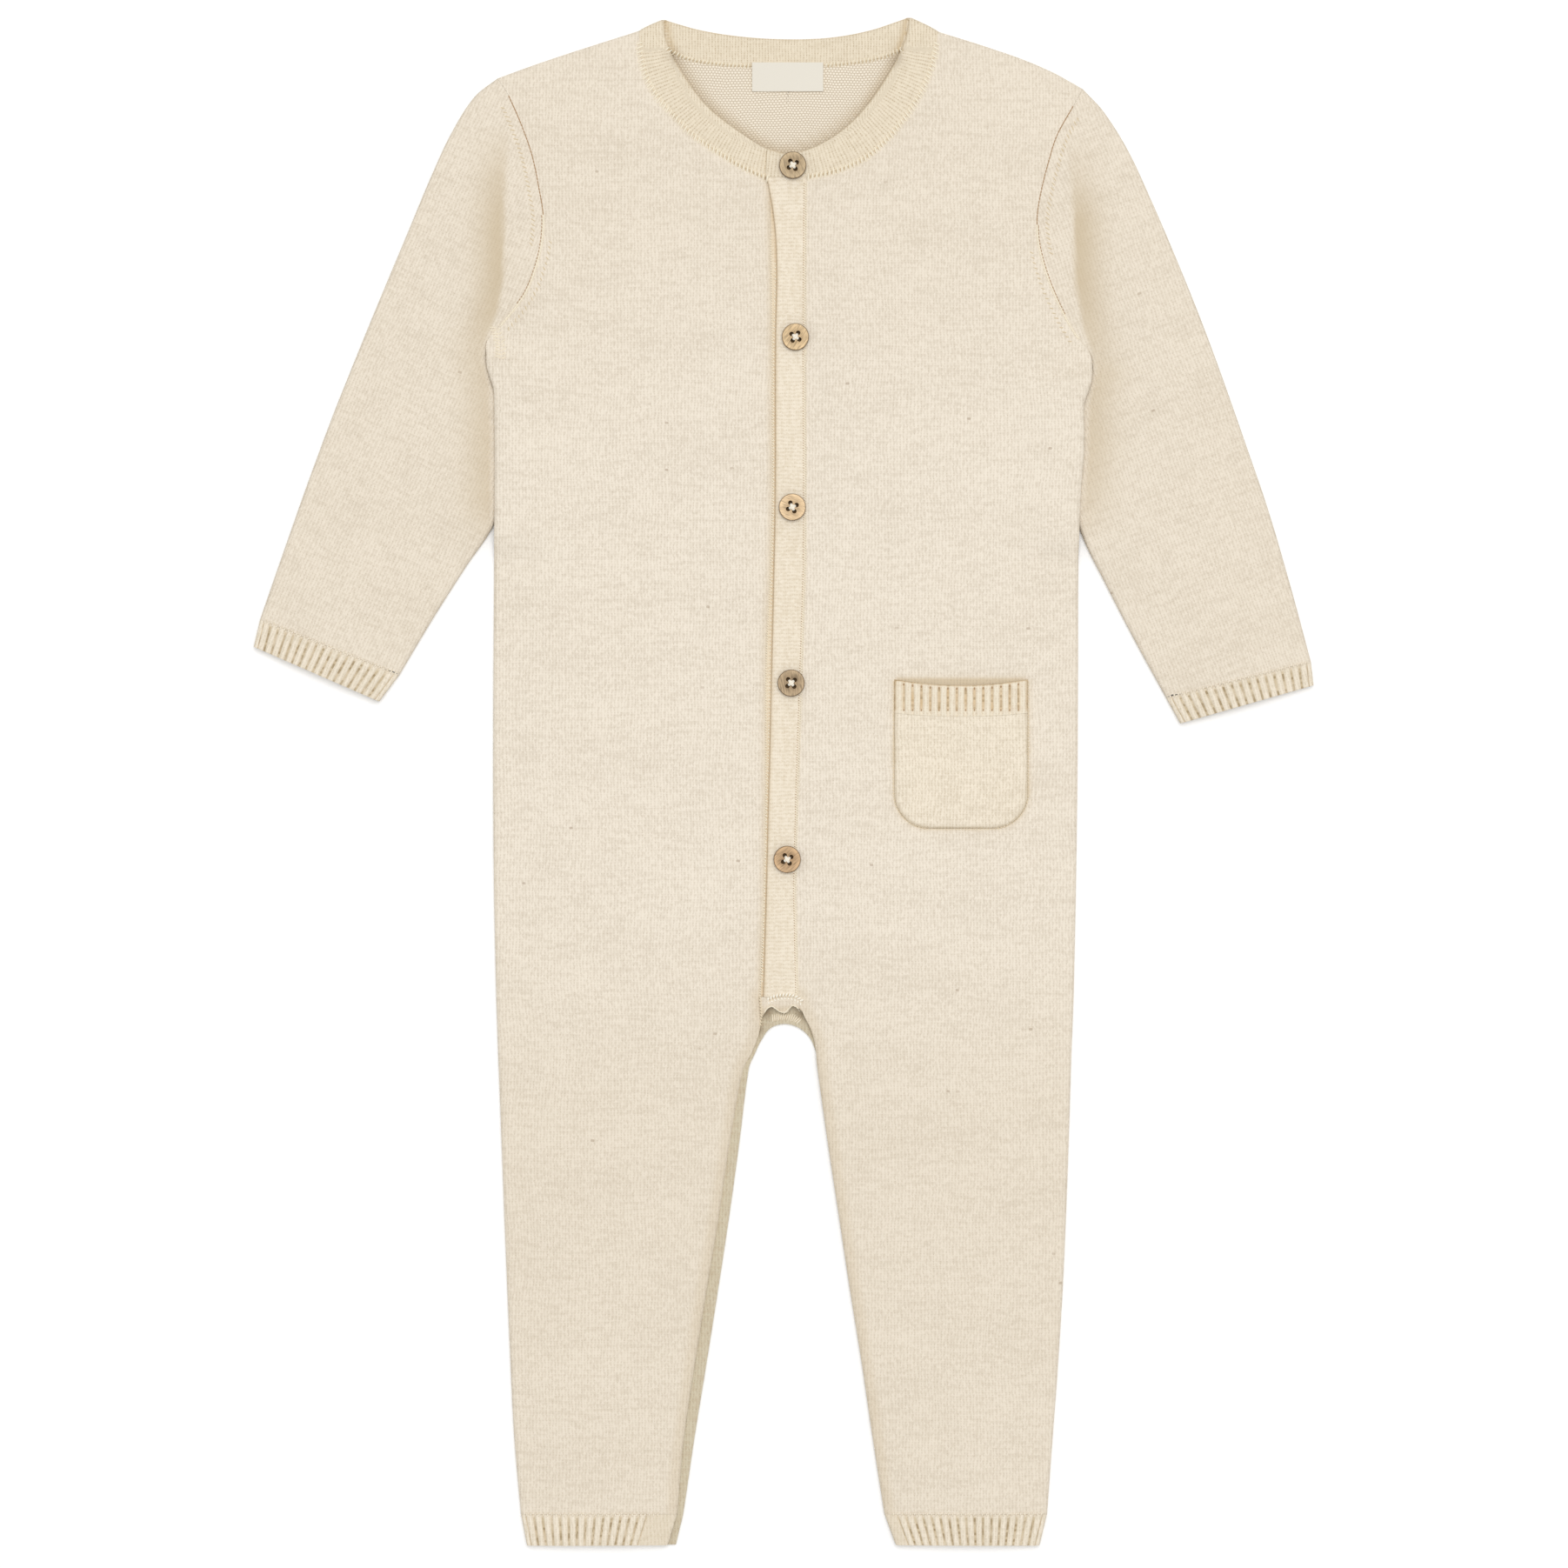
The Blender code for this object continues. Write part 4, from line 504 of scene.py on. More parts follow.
BUTTONS = {
    "button_1": {"turn": -12, "wood": (194, 171, 136), "grain": 20},
    "button_2": {"turn": 10, "wood": (222, 193, 150), "grain": -35},
    "button_3": {"turn": -20, "wood": (231, 201, 160), "grain": 70},
    "button_4": {"turn": -5, "wood": (184, 160, 127), "grain": 10},
    "button_5": {"turn": -14, "wood": (205, 171, 131), "grain": -50},
}


def linear(rgb):
    """An 8-bit sRGB colour as linear RGBA."""
    share = np.array(rgb) / 255
    value = np.where(share > 0.04045, ((share + 0.055) / 1.055) ** 2.4, share / 12.92)
    return (*value.tolist(), 1.0)


def smoothstep(t):
    """0 below 0, 1 above 1, and a soft rise between."""
    t = np.clip(t, 0, 1)
    return t * t * (3 - 2 * t)


def curve(p, tangent, step, i, t):
    """The smooth curve from p[i] to p[i + 1] at the shares t of the way."""
    return (
        p[i] * (2 * t**3 - 3 * t**2 + 1)
        + p[i + 1] * (3 * t**2 - 2 * t**3)
        + step[i] * (tangent[i] * (t**3 - 2 * t**2 + t) + tangent[i + 1] * (t**3 - t**2))
    )


def smooth_line(points, count):
    """count points at equal distances along a smooth curve through the given ones."""
    p = np.array(points, float)
    step = np.linalg.norm(np.diff(p, axis=0), axis=1)
    slope = np.diff(p, axis=0) / step[:, None]
    weight = (step[1:] + step[:-1])[:, None]
    middle = (slope[:-1] * step[1:, None] + slope[1:] * step[:-1, None]) / weight
    tangent = np.vstack([slope[:1], middle, slope[-1:]])
    shares = np.linspace(0, 1, CURVE_STEPS, endpoint=False)[:, None]
    spans = [curve(p, tangent, step, i, shares) for i in range(len(step))]
    fine = np.vstack([*spans, p[-1:]])
    along = np.concatenate(([0], np.cumsum(np.linalg.norm(np.diff(fine, axis=0), axis=1))))
    wanted = np.linspace(0, along[-1], count)
    return np.column_stack([np.interp(wanted, along, fine[:, k]) for k in range(fine.shape[1])])


def rail(stretches):
    """One line through several stretches, each a (points, rows) pair that starts where the last one ended."""
    parts = [smooth_line(points, rows + 1) for points, rows in stretches]
    return np.vstack([parts[0]] + [part[1:] for part in parts[1:]])


def distance_to(lines, x, y):
    """Shortest distance from each point to any of the lines."""
    points = np.stack([np.ravel(x), np.ravel(y)], axis=1)[:, None, :]
    best = np.full(points.shape[0], 1e9)
    for line in lines:
        a = np.array(line[:-1], float)
        along = np.diff(np.array(line, float), axis=0)
        a, along = a[along.any(axis=1)], along[along.any(axis=1)]
        t = np.sum((points - a) * along, axis=2) / np.sum(along * along, axis=1)
        nearest = a + np.clip(t, 0, 1)[..., None] * along
        best = np.minimum(best, np.linalg.norm(points - nearest, axis=2).min(axis=1))
    return best.reshape(np.shape(x))


def side_line(side, first, last):
    """The outline of one side of the trunk as a plain list of points."""
    names = list(SIDE[side])
    wanted = names[names.index(first) : names.index(last) + 1]
    return [point for name in wanted for point in SIDE[side][name]]


def fold_lines(sleeve):
    """Folded edges that the front's height starts from: those of the trunk and legs, or of the sleeves."""
    lines = []
    for side in SIDE:
        shoulder_end = SIDE[side]["shoulder"][-1]
        neck_end = FRONT_INNER[side]["shoulder"][-1]
        lines.append([shoulder_end, neck_end, NECK_FRONT[side]["opening"][-1]])
        lines.append(SLEEVE[side]["top"])
        if sleeve:
            lines.append(SLEEVE[side]["under"])
        else:
            lines.append(side_line(side, "leg", "underarm"))
            lines.append(FRONT_INNER[side]["leg"] + FRONT_INNER[side]["crotch"][:3])
    return lines


TRUNK_FOLDS = fold_lines(sleeve=False)
SLEEVE_FOLDS = fold_lines(sleeve=True)


def trough_depth(x, y):
    """How far the soft hollows press the front down at each point."""
    depth = np.zeros(np.shape(x))
    for line, deep, half_width in TROUGHS:
        away = distance_to([smooth_line(line, 12)], x, y)
        depth = np.maximum(depth, deep * np.exp(-((away / half_width) ** 2)))
    return depth


def front_level(x, y, sleeve=False):
    """Height of the underside of the front cloth."""
    away = distance_to(SLEEVE_FOLDS if sleeve else TRUNK_FOLDS, x, y)
    puff = PUFF * smoothstep(away / PUFF_REACH) - trough_depth(x, y)
    return ROLL + CORE + np.maximum(puff, 0)


def placket_middle(y):
    """x of the middle of the front opening at each height."""
    edges = []
    for side in SIDE:
        line = np.array([point for name in OPENING for point in FRONT_INNER[side][name]])
        edges.append(np.interp(y, line[:, 1], line[:, 0]))
    return (edges[0] + edges[1]) / 2


def placket_share(x, y):
    """1 at the front opening, 0 well away from it."""
    away = np.abs(x - placket_middle(y))
    return 1 - smoothstep((away - OVERLAP_FLAT) / (OVERLAP_REACH - OVERLAP_FLAT))


def under_level(x, y):
    """Height of the underside of the front on the side that lies under at the opening."""
    return np.maximum(front_level(x, y) - OVERLAP * placket_share(x, y), LEAST_LEVEL)


def over_level(x, y):
    """Height of the underside of the front on the side that lies over."""
    share = placket_share(x, y)
    return np.maximum(front_level(x, y) + OVERLAP * share, under_level(x, y) + 2 * OVERLAP * share)


def tuck_lift(x, y):
    """How far the trunk is raised where its edge lies on the sleeve."""
    lift = np.zeros(np.shape(x))
    for side in SIDE:
        line = np.array(side_line(side, "trunk", "underarm"))
        inwards = np.abs(np.interp(y, line[:, 1], line[:, 0])) - np.abs(x)
        across = 1 - smoothstep((inwards - TUCK_FLAT) / (TUCK_REACH - TUCK_FLAT))
        top = SIDE[side]["underarm"][-1][1] - TUCK_TOP_CLEAR
        along = smoothstep((top - y) / TUCK_TOP_RAMP) * smoothstep((y - TUCK_BOTTOM) / TUCK_BOTTOM_RAMP)
        same_side = np.sign(x) == np.sign(line[0, 0])
        lift = np.maximum(lift, TUCK_LIFT * across * along * same_side)
    return lift


def edge_columns(curl):
    """Columns from a panel's edge inwards: distance, sink and lean. curl is 1 on a fold, 0 on a cut edge."""
    columns = []
    for k in range(CURL_STEPS + 1):
        share = 1 - k / CURL_STEPS
        lean = curl * share * math.pi / 2
        reach = ROLL - SEAM / 2 - CLOTH * math.sin(lean)
        distance = ROLL - CORE * math.sin(lean) - (1 - curl) * share * reach
        sink = CORE * (1 - math.cos(lean)) - SEAM / 2 * math.sin(lean)
        columns.append((distance, sink, lean))
    return columns


def panel(side, inner, inner_curl, level, face):
    """Inner and outer grids of a panel from the side's rail to an inner rail, whose last row rolls over the
    shoulder. face is 1 for the front, -1 for the back."""
    outer, outer_curl = start_gap(side_rail(side)), side_curl()
    flat, walls = [], []
    for a, b, curl_a, curl_b in zip(outer, inner, outer_curl, inner_curl):
        width = np.linalg.norm(b - a)
        across = (b - a) / width
        start = [(d, sink, -lean) for d, sink, lean in edge_columns(curl_a)]
        end = [(width - d, sink, lean) for d, sink, lean in edge_columns(curl_b)]
        middle = [(share * width, 0.0, 0.0) for share in (FRONT_SHARES if face > 0 else BACK_SHARES)]
        columns = start + middle + end[::-1]
        flat.append([(*(a + across * d), sink) for d, sink, _ in columns])
        walls.append([(*(across * math.sin(lean)), math.cos(lean)) for _, _, lean in columns])
    flat, walls = roll_last_row(np.array(flat), np.array(walls), SHOULDER_BOW[side])
    base = level(flat[..., 0], flat[..., 1])
    inner_grid = flat.copy()
    inner_grid[..., 2] = base - face * flat[..., 2]
    outward = walls * np.array([1, 1, face])
    return inner_grid, inner_grid + CLOTH * outward


def along_to_fold(direction, out):
    """direction stretched so that it covers one unit towards a fold whose outward direction is out."""
    direction = np.array(direction, float)
    return direction / np.sum(direction * out, axis=-1, keepdims=True)


def fold_out(line):
    """The direction square to a line's chord, towards the neck."""
    chord = line[-1] - line[0]
    out = unit(np.array([-chord[1], chord[0]]))
    return out if out[1] > 0 else -out


def roll_last_row(flat, walls, bow):
    """Replaces the last row with rows that roll over the shoulder, which bulges by bow near its outer end."""
    edge = flat[-1].copy()
    out = fold_out(edge[:, :2])
    run = along_to_fold(edge[:, :2] - flat[-2][:, :2], out)
    from_neck = np.linalg.norm(edge[:, :2] - edge[-1, :2], axis=1)
    bulge = bow * np.sin(math.pi * (from_neck / from_neck[0]) ** SHOULDER_BOW_SKEW)
    edge[:, :2] += out * bulge[:, None]
    rows, leans = [], []
    for distance, sink, lean in edge_columns(1.0)[::-1]:
        rows.append(np.column_stack([edge[:, :2] - run * distance, np.full(len(run), sink)]))
        leans.append(np.column_stack([run * math.sin(lean), np.full(len(run), math.cos(lean))]))
    return np.vstack([flat[:-1], np.array(rows)]), np.vstack([walls[:-1], np.array(leans)])


def side_rail(side):
    """The outer rail of a panel."""
    return rail([(SIDE[side][name], rows) for name, rows in ROWS.items()])


def front_inner_rail(side):
    """The inner rail of a front panel."""
    return rail([(FRONT_INNER[side][name], rows) for name, rows in ROWS.items()])


def side_curl():
    """Curl of the outer edge: a fold up to just under the arm, then the cut edge of the armhole."""
    curl = np.zeros(ROW_COUNT)
    curl[: FIRST_ROW["yoke"] - 1] = 1
    curl[FIRST_ROW["yoke"] - 1] = 0.5
    return curl


def start_gap(line):
    """Moves a rail's first point off the cuff's seam."""
    moved = line.copy()
    moved[0, 1] += SEAM / 2
    return moved


def build_front(side, level):
    """One front panel, from the ankle to the shoulder."""
    inner = start_gap(front_inner_rail(side))
    inner_curl = np.zeros(ROW_COUNT)
    inner_curl[: FIRST_ROW["crotch"] + 2] = 1
    inner_curl[FIRST_ROW["crotch"] + 2] = 0.5
    grids = panel(side, inner, inner_curl, lambda x, y: level(x, y) + tuck_lift(x, y), face=1)
    cloth_piece(f"front_{side}", *grids)


def quarter_roll():
    """Distance from a fold and lean of the columns of a quarter roll, from the fold's tip inwards."""
    leans = [math.pi / 2 * (1 - k / CURL_STEPS) for k in range(CURL_STEPS + 1)]
    return [(ROLL - CORE * math.sin(lean), lean) for lean in leans]


def ring_columns(width, front, back):
    """Columns round a flattened tube: distance from the top edge, lean, face and rise of the outside."""
    quarter = quarter_roll()
    columns = [(d, -lean, 1, 0.0) for d, lean in quarter[:-1]]
    columns += [(d, 0.0, 1, rise) for d, rise in front(width)]
    columns += [(width - d, lean, 1, 0.0) for d, lean in quarter[-2::-1]]
    columns += [(width - d, lean, -1, 0.0) for d, lean in quarter[1:-1]]
    columns += [(d, 0.0, -1, 0.0) for d in back(width)[::-1]]
    columns += [(d, -lean, -1, 0.0) for d, lean in quarter[-2:0:-1]]
    return columns


def plain_columns(shares):
    """Flat columns at the ends of the two rolls and at fixed shares of the width."""
    return lambda width: [ROLL, *(share * width for share in shares), width - ROLL]


def ribbed_columns(count, plain_end=0.0):
    """Columns of the front of a cuff with this many ribs, up to plain_end from the far edge."""
    def columns(width):
        pitch = (width - 2 * ROLL - plain_end) / count
        points = [(ROLL, 0.0)]
        for i in range(count):
            points += [(ROLL + (i + share) * pitch, rise) for share, rise in RIB_PROFILE]
        if plain_end:
            points.append((ROLL + (count + 0.15) * pitch, 0.0))
        return points + [(width - ROLL, 0.0)]
    return columns


def rib_count(width, plain_end=0.0):
    """How many ribs the front of a cuff of this width has."""
    return round((width - 2 * ROLL - plain_end) / RIB_PITCH)


def tube_points(place, columns, level):
    """Inner and outer points at one station. place turns a distance into a point and a direction."""
    low, high = [], []
    for distance, lean, face, rise in columns:
        point, along = place(distance)
        core = CORE * (1 - math.cos(lean))
        z = float(level(*point)) - core if face > 0 else CLOTH + core
        outward = np.array([*(along * math.sin(lean)), face * math.cos(lean)])
        low.append(np.array([*point, z]))
        high.append(low[-1] + (CLOTH + rise) * outward)
    return np.array(low), np.array(high)


def tube_wall(stations, columns_of, level):
    """Inner and outer grids of a flattened tube."""
    rows = [tube_points(place, columns_of(width), level) for place, width in stations]
    return np.array([low for low, _ in rows]), np.array([high for _, high in rows])


def straight_station(a, b):
    """A station along the straight line from a to b."""
    a, b = np.array(a, float), np.array(b, float)
    width = float(np.linalg.norm(b - a))
    along = (b - a) / width
    return (lambda d: (a + along * d, along)), width


def curved_station(line):
    """A station along a line of points."""
    step = np.linalg.norm(np.diff(line, axis=0), axis=1)
    at = np.concatenate(([0], np.cumsum(step)))

    def place(d):
        point = np.array([np.interp(d, at, line[:, k]) for k in (0, 1)])
        i = min(max(int(np.searchsorted(at, d)) - 1, 0), len(step) - 1)
        return point, (line[i + 1] - line[i]) / step[i]

    return place, float(at[-1])


def sleeve_stations(side, count):
    """Stations from the cuff to the armhole, which bend towards the armhole near it. Also returns the shares
    of the width at which the trunk has its own points on the armhole."""
    sign = 1 if side == "right" else -1
    far = 1 - np.linspace(0, 1, count)
    top = line_at(smooth_line(SLEEVE[side]["top"], 60), 1 - far**SHOULDER_CROWDING)
    under = line_at(smooth_line(SLEEVE[side]["under"], 60), 1 - far**UNDERARM_CROWDING)
    armhole = side_rail(side)[FIRST_ROW["yoke"] :][::-1]
    up = unit(armhole[-2] - armhole[-1])
    armhole = np.insert(armhole, -1, armhole[-1] + up * UNDERARM_STEP, axis=0)
    share = chord_shares(armhole)[:, None]
    out = square_to(armhole, sign)
    square = square_to(under, -sign)
    stations = []
    for i in range(count):
        straight = top[i] + (under[i] - top[i]) * share
        bowed = armhole + out * far[i] * SLEEVE_LENGTH
        bowed += (top[i] - bowed[0]) * (1 - share) ** 2 + (under[i] - bowed[-1]) * share**6
        line = straight + (bowed - straight) * max(0.0, 1 - far[i] / SLEEVE_ARMHOLE_REACH) ** 2
        fan = min(1.0, np.linalg.norm(under[i] - armhole[-1]) / UNDERARM_FAN) ** (1 / 3)
        step = (1 - share[-2]) * np.linalg.norm(under[i] - top[i])
        line[-2] = under[i] + unit((1 - fan) * up + fan * square[i]) * step
        if i == 0:
            line = line + seam_step(line, SLEEVE[side]["hem"])
        if i == count - 1:
            line = armhole + out * SEAM / 2
        stations.append(curved_station(line))
    return stations, share[1:-1, 0]


def unit(vector):
    """The vector at length 1."""
    return vector / np.linalg.norm(vector)


def square_to(line, sign):
    """Directions square to a line at each of its points, to its right where sign is 1."""
    tangent = np.gradient(line, axis=0)
    tangent /= np.linalg.norm(tangent, axis=1)[:, None]
    return np.column_stack([tangent[:, 1], -tangent[:, 0]]) * sign


def seam_step(line, hem):
    """Half a seam, away from the hem."""
    return unit((line[0] + line[-1]) / 2 - np.mean(hem, axis=0)) * SEAM / 2


def chord_shares(line):
    """Share of the whole length at each point of a line."""
    along = np.concatenate(([0], np.cumsum(np.linalg.norm(np.diff(line, axis=0), axis=1))))
    return along / along[-1]


def line_at(line, shares):
    """Points at the given shares of a line's length."""
    return np.column_stack([np.interp(shares, chord_shares(line), line[:, k]) for k in (0, 1)])


def build_sleeve(side):
    """A sleeve: a flattened tube from the cuff's seam to the armhole."""
    stations, shares = sleeve_stations(side, SLEEVE_STATIONS)
    plain = plain_columns(shares)
    grids = tube_wall(
        stations,
        lambda width: ring_columns(width, lambda w: [(d, 0.0) for d in plain(w)], plain),
        lambda x, y: front_level(x, y, sleeve=True),
    )
    cloth_piece(f"sleeve_{side}", *grids, ring=True)


def build_sleeve_cuff(side):
    """A ribbed tube on the end of a sleeve."""
    seam = np.array([SLEEVE[side]["top"][0], SLEEVE[side]["under"][0]], float)
    hem = np.array(SLEEVE[side]["hem"], float)
    seam -= seam_step(seam, hem)
    ribs = rib_count(np.linalg.norm(seam[1] - seam[0]))
    stations = [straight_station(*(seam + (hem - seam) * share)) for share in CUFF_SHARES]
    grids = tube_wall(
        stations,
        lambda width: ring_columns(width, ribbed_columns(ribs), plain_columns([0.25, 0.5, 0.75])),
        lambda x, y: front_level(x, y, sleeve=True),
    )
    cloth_piece(f"cuff_sleeve_{side}", *grids, ring=True)


def build_leg_cuff(side):
    """The ribbed end of a leg, open at the inner leg: front, outer fold and back in one strip."""
    seam = np.array([SIDE[side]["leg"][0], FRONT_INNER[side]["leg"][0]], float) - [0, SEAM / 2]
    hem = np.array(LEG_HEM[side], float)
    back_x = (BACK_INNER[side]["leg"][0][0], leg_back_hem(side)[0])
    ribs = rib_count(abs(seam[0][0] - seam[1][0]), LEG_RIB_END[side])
    inner, outer = [], []
    for share in CUFF_SHARES:
        a, b = seam + (hem - seam) * share
        back_end = abs(back_x[0] + (back_x[1] - back_x[0]) * share - a[0]) - SEAM / 2
        place, width = straight_station(a, b)
        columns = [(width - d, lean, 1, 0.0) for d, _, lean in edge_columns(1.0)]
        columns += [(d, 0.0, 1, rise) for d, rise in ribbed_columns(ribs, LEG_RIB_END[side])(width)[-2::-1]]
        columns += [(d, -lean, 1, 0.0) for d, lean in quarter_roll()[-2::-1]]
        columns += [(d, -lean, -1, 0.0) for d, lean in quarter_roll()[1:]]
        columns += [(ROLL + part * (back_end - ROLL), 0.0, -1, 0.0) for part in (0.25, 0.5, 0.75, 1.0)]
        low, high = tube_points(place, columns, front_level)
        for grid in (low, high):
            for i, (_, lean, _, _) in enumerate(columns[: CURL_STEPS + 1]):
                grid[i, 2] += SEAM / 2 * math.sin(lean)
        inner.append(low)
        outer.append(high)
    cloth_piece(f"cuff_leg_{side}", np.array(inner), np.array(outer))


def strip(left, right, level, left_round=0.0):
    """Grids of a band's strip between two rails of (x, y). left_round rounds its free left edge."""
    inner, outer = [], []
    for a, b in zip(left, right):
        points = np.array([a + (b - a) * share for share in (0.0, 0.2, 0.5, 0.8, 1.0)])
        low = np.column_stack([points, level(points[:, 0], points[:, 1])])
        high = low + [0, 0, BAND]
        if left_round:
            edge = (low[0] + high[0]) / 2
            for grid in (low, high):
                grid[0, :2] += unit(b - a) * left_round
            low = np.vstack([edge - [0, 0, BAND / 8], low])
            high = np.vstack([edge + [0, 0, BAND / 8], high])
        inner.append(low)
        outer.append(high)
    return np.array(inner), np.array(outer)


def placket_rail(side, shift):
    """The part of a front panel's inner edge that the placket is sewn to."""
    line = front_inner_rail(side)[FIRST_ROW["trunk"] : FIRST_ROW["shoulder"] + 1] + [shift, 0]
    line[0, 1] += SEAM / 2
    line[-1, 1] -= SEAM
    return line


def build_placket():
    """The two bands of the front opening: the under one carries the buttons, the top one the buttonholes."""
    under = strip(placket_rail("right", SEAM / 2), placket_rail("left", -SEAM), under_level)
    cloth_piece("placket_under", *under)
    sewn = placket_rail("left", -SEAM / 2)
    edge = smooth_line(PLACKET_FREE_EDGE, 60)
    free = np.column_stack([np.interp(sewn[:, 1], edge[:, 1], edge[:, 0]), sewn[:, 1]])
    top = strip(free, sewn, over_level, left_round=0.4)
    cloth_piece("placket_top", *top)


def build_crotch_tab():
    """The short edge across the bottom of the placket. Its lower edge is round and gapes in two scallops."""
    outline = smooth_line([(x, y, stand) for x, y, stand in CROTCH_TAB], CROTCH_TAB_COLUMNS)
    share = chord_shares(outline[:, :1])
    sides = [front_inner_rail(side)[: FIRST_ROW["trunk"] + 1] for side in SIDE]
    inner, outer = [], []
    for down, thickness in CROTCH_TAB_ROWS:
        y = CROTCH_TAB_TOP + (outline[:, 1] - CROTCH_TAB_TOP) * down
        left, right = (np.interp(y, line[:, 1], line[:, 0]) for line in sides)
        x = left - CROTCH_TAB_LAP + (right - SEAM / 2 - left + CROTCH_TAB_LAP) * share
        low = np.column_stack([x, y, over_level(x, y) + outline[:, 2] * down**2])
        inner.append(low)
        outer.append(low + [0, 0, CLOTH * thickness])
    cloth_piece("crotch_tab", np.array(inner), np.array(outer))


def leg_back_hem(side):
    """The inner end of the back panel's side of the hem."""
    seam, front = BACK_INNER[side]["leg"][0], FRONT_INNER[side]["leg"][0]
    return (seam[0] + LEG_HEM[side][1][0] - front[0], LEG_HEM[side][1][1])


def build_inseam_band():
    """The band on the back's side of the inner legs, from hem to hem round the crotch."""
    free, sewn = [], []
    for side, order in (("right", 1), ("left", -1)):
        stretches = INSEAM_FREE[side]
        rows = {"hem": 2, "leg": ROWS["leg"], "crotch": ROWS["crotch"]}
        edge = rail([(stretches[name], count) for name, count in rows.items()])
        back = BACK_INNER[side]
        hem = [leg_back_hem(side), back["leg"][0]]
        seam = rail([(hem, rows["hem"]), (back["leg"], rows["leg"]), (back["crotch"], rows["crotch"])])
        skip = 1 if side == "left" else 0
        free.append(edge[::order][skip:])
        sewn.append(seam[::order][skip:])
    free, sewn = np.vstack(free), np.vstack(sewn)
    across = sewn - free
    across /= np.linalg.norm(across, axis=1)[:, None]
    sewn = sewn - across * SEAM / 2
    inner = []
    for a, b in zip(free, sewn):
        inner.append([(*(a + (b - a) * share), CLOTH) for share in (0.0, 0.5, 1.0)])
    inner = np.array(inner)
    cloth_piece("inseam_band", inner, inner - [0, 0, CLOTH])


def neck_section(opening, seam):
    """Five corners of the neckband's section from two (inner, outer) pairs: square at the seam, round at the
    opening."""
    low_a, high_a = opening
    low_b, high_b = seam
    across = (low_a - low_b) * [1, 1, 0]
    across /= np.linalg.norm(across)
    slip = across * SEAM / 2
    return [low_b + slip, low_a - across * BAND / 2, (low_a + high_a) / 2, high_a - across * BAND / 2,
            high_b + slip]


def neck_pair(point, level, face=1):
    """The inside and the outside of the neckband at a point."""
    low = np.array([*point, level])
    return low, low + [0, 0, face * BAND]


def neck_fold(opening, seam, back_opening, back_seam):
    """Sections that turn the neckband over at the shoulder, from the front's level down to the back's. Each
    argument is a line that ends at the fold."""
    out = fold_out(np.array([opening[-1], seam[-1]]))
    high, low = ROLL + CORE + BAND, 0.0
    centre, outside = (high + low) / 2, (high - low) / 2
    sections = []
    for lean in np.linspace(0, math.pi, 5):
        pairs = []
        for front, back in ((opening, back_opening), (seam, back_seam)):
            line = front if lean < 1.5 else back
            run = along_to_fold(line[-1] - line[-2], out)
            pair = []
            for radius in (outside - BAND, outside):
                spot = line[-1] - run * (outside - radius * math.sin(lean))
                pair.append(np.array([*spot, centre + radius * math.cos(lean)]))
            pairs.append(pair)
        sections.append(neck_section(*pairs))
    return sections


def pocket_ends(y):
    """Left and right ends of the pocket at a height, with round lower corners."""
    p = POCKET
    up = min(max((y - p["bottom"]) / p["corner"], 0.0), 1.0)
    inset = p["corner"] * (1 - math.sqrt(max(1 - (1 - up) ** 2, 0.0)))
    return p["left"] + inset, p["right"] - inset


def pocket_point(x, y):
    """A point of the pocket's underside, lying on the front panel."""
    p = POCKET
    mouth = smoothstep((y - p["bottom"]) / (p["top"] - p["bottom"]))
    middle = 1 - (2 * (x - p["left"]) / (p["right"] - p["left"]) - 1) ** 2
    sag = p["sag"] * middle * mouth**4
    z = over_level(x, y) + CLOTH + SEAM + middle * (p["crown"] + p["gape"] * mouth**6)
    return np.array([x, y - sag, float(z)])


def pocket_columns(y):
    """x across the pocket at a height, closer together near its ends."""
    left, right = pocket_ends(y)
    ends = np.array(POCKET_EDGE)[:, 0]
    inside = np.linspace(left + ends[-1], right - ends[-1], POCKET_COLUMNS)[1:-1]
    return np.concatenate([left + ends, inside, right - ends[::-1]])


def pocket_ribs():
    """How many ribs the pocket's mouth has, and their pitch."""
    width = POCKET["right"] - POCKET["left"] - 2 * POCKET["margin"]
    count = round(width / RIB_PITCH)
    return count, width / count


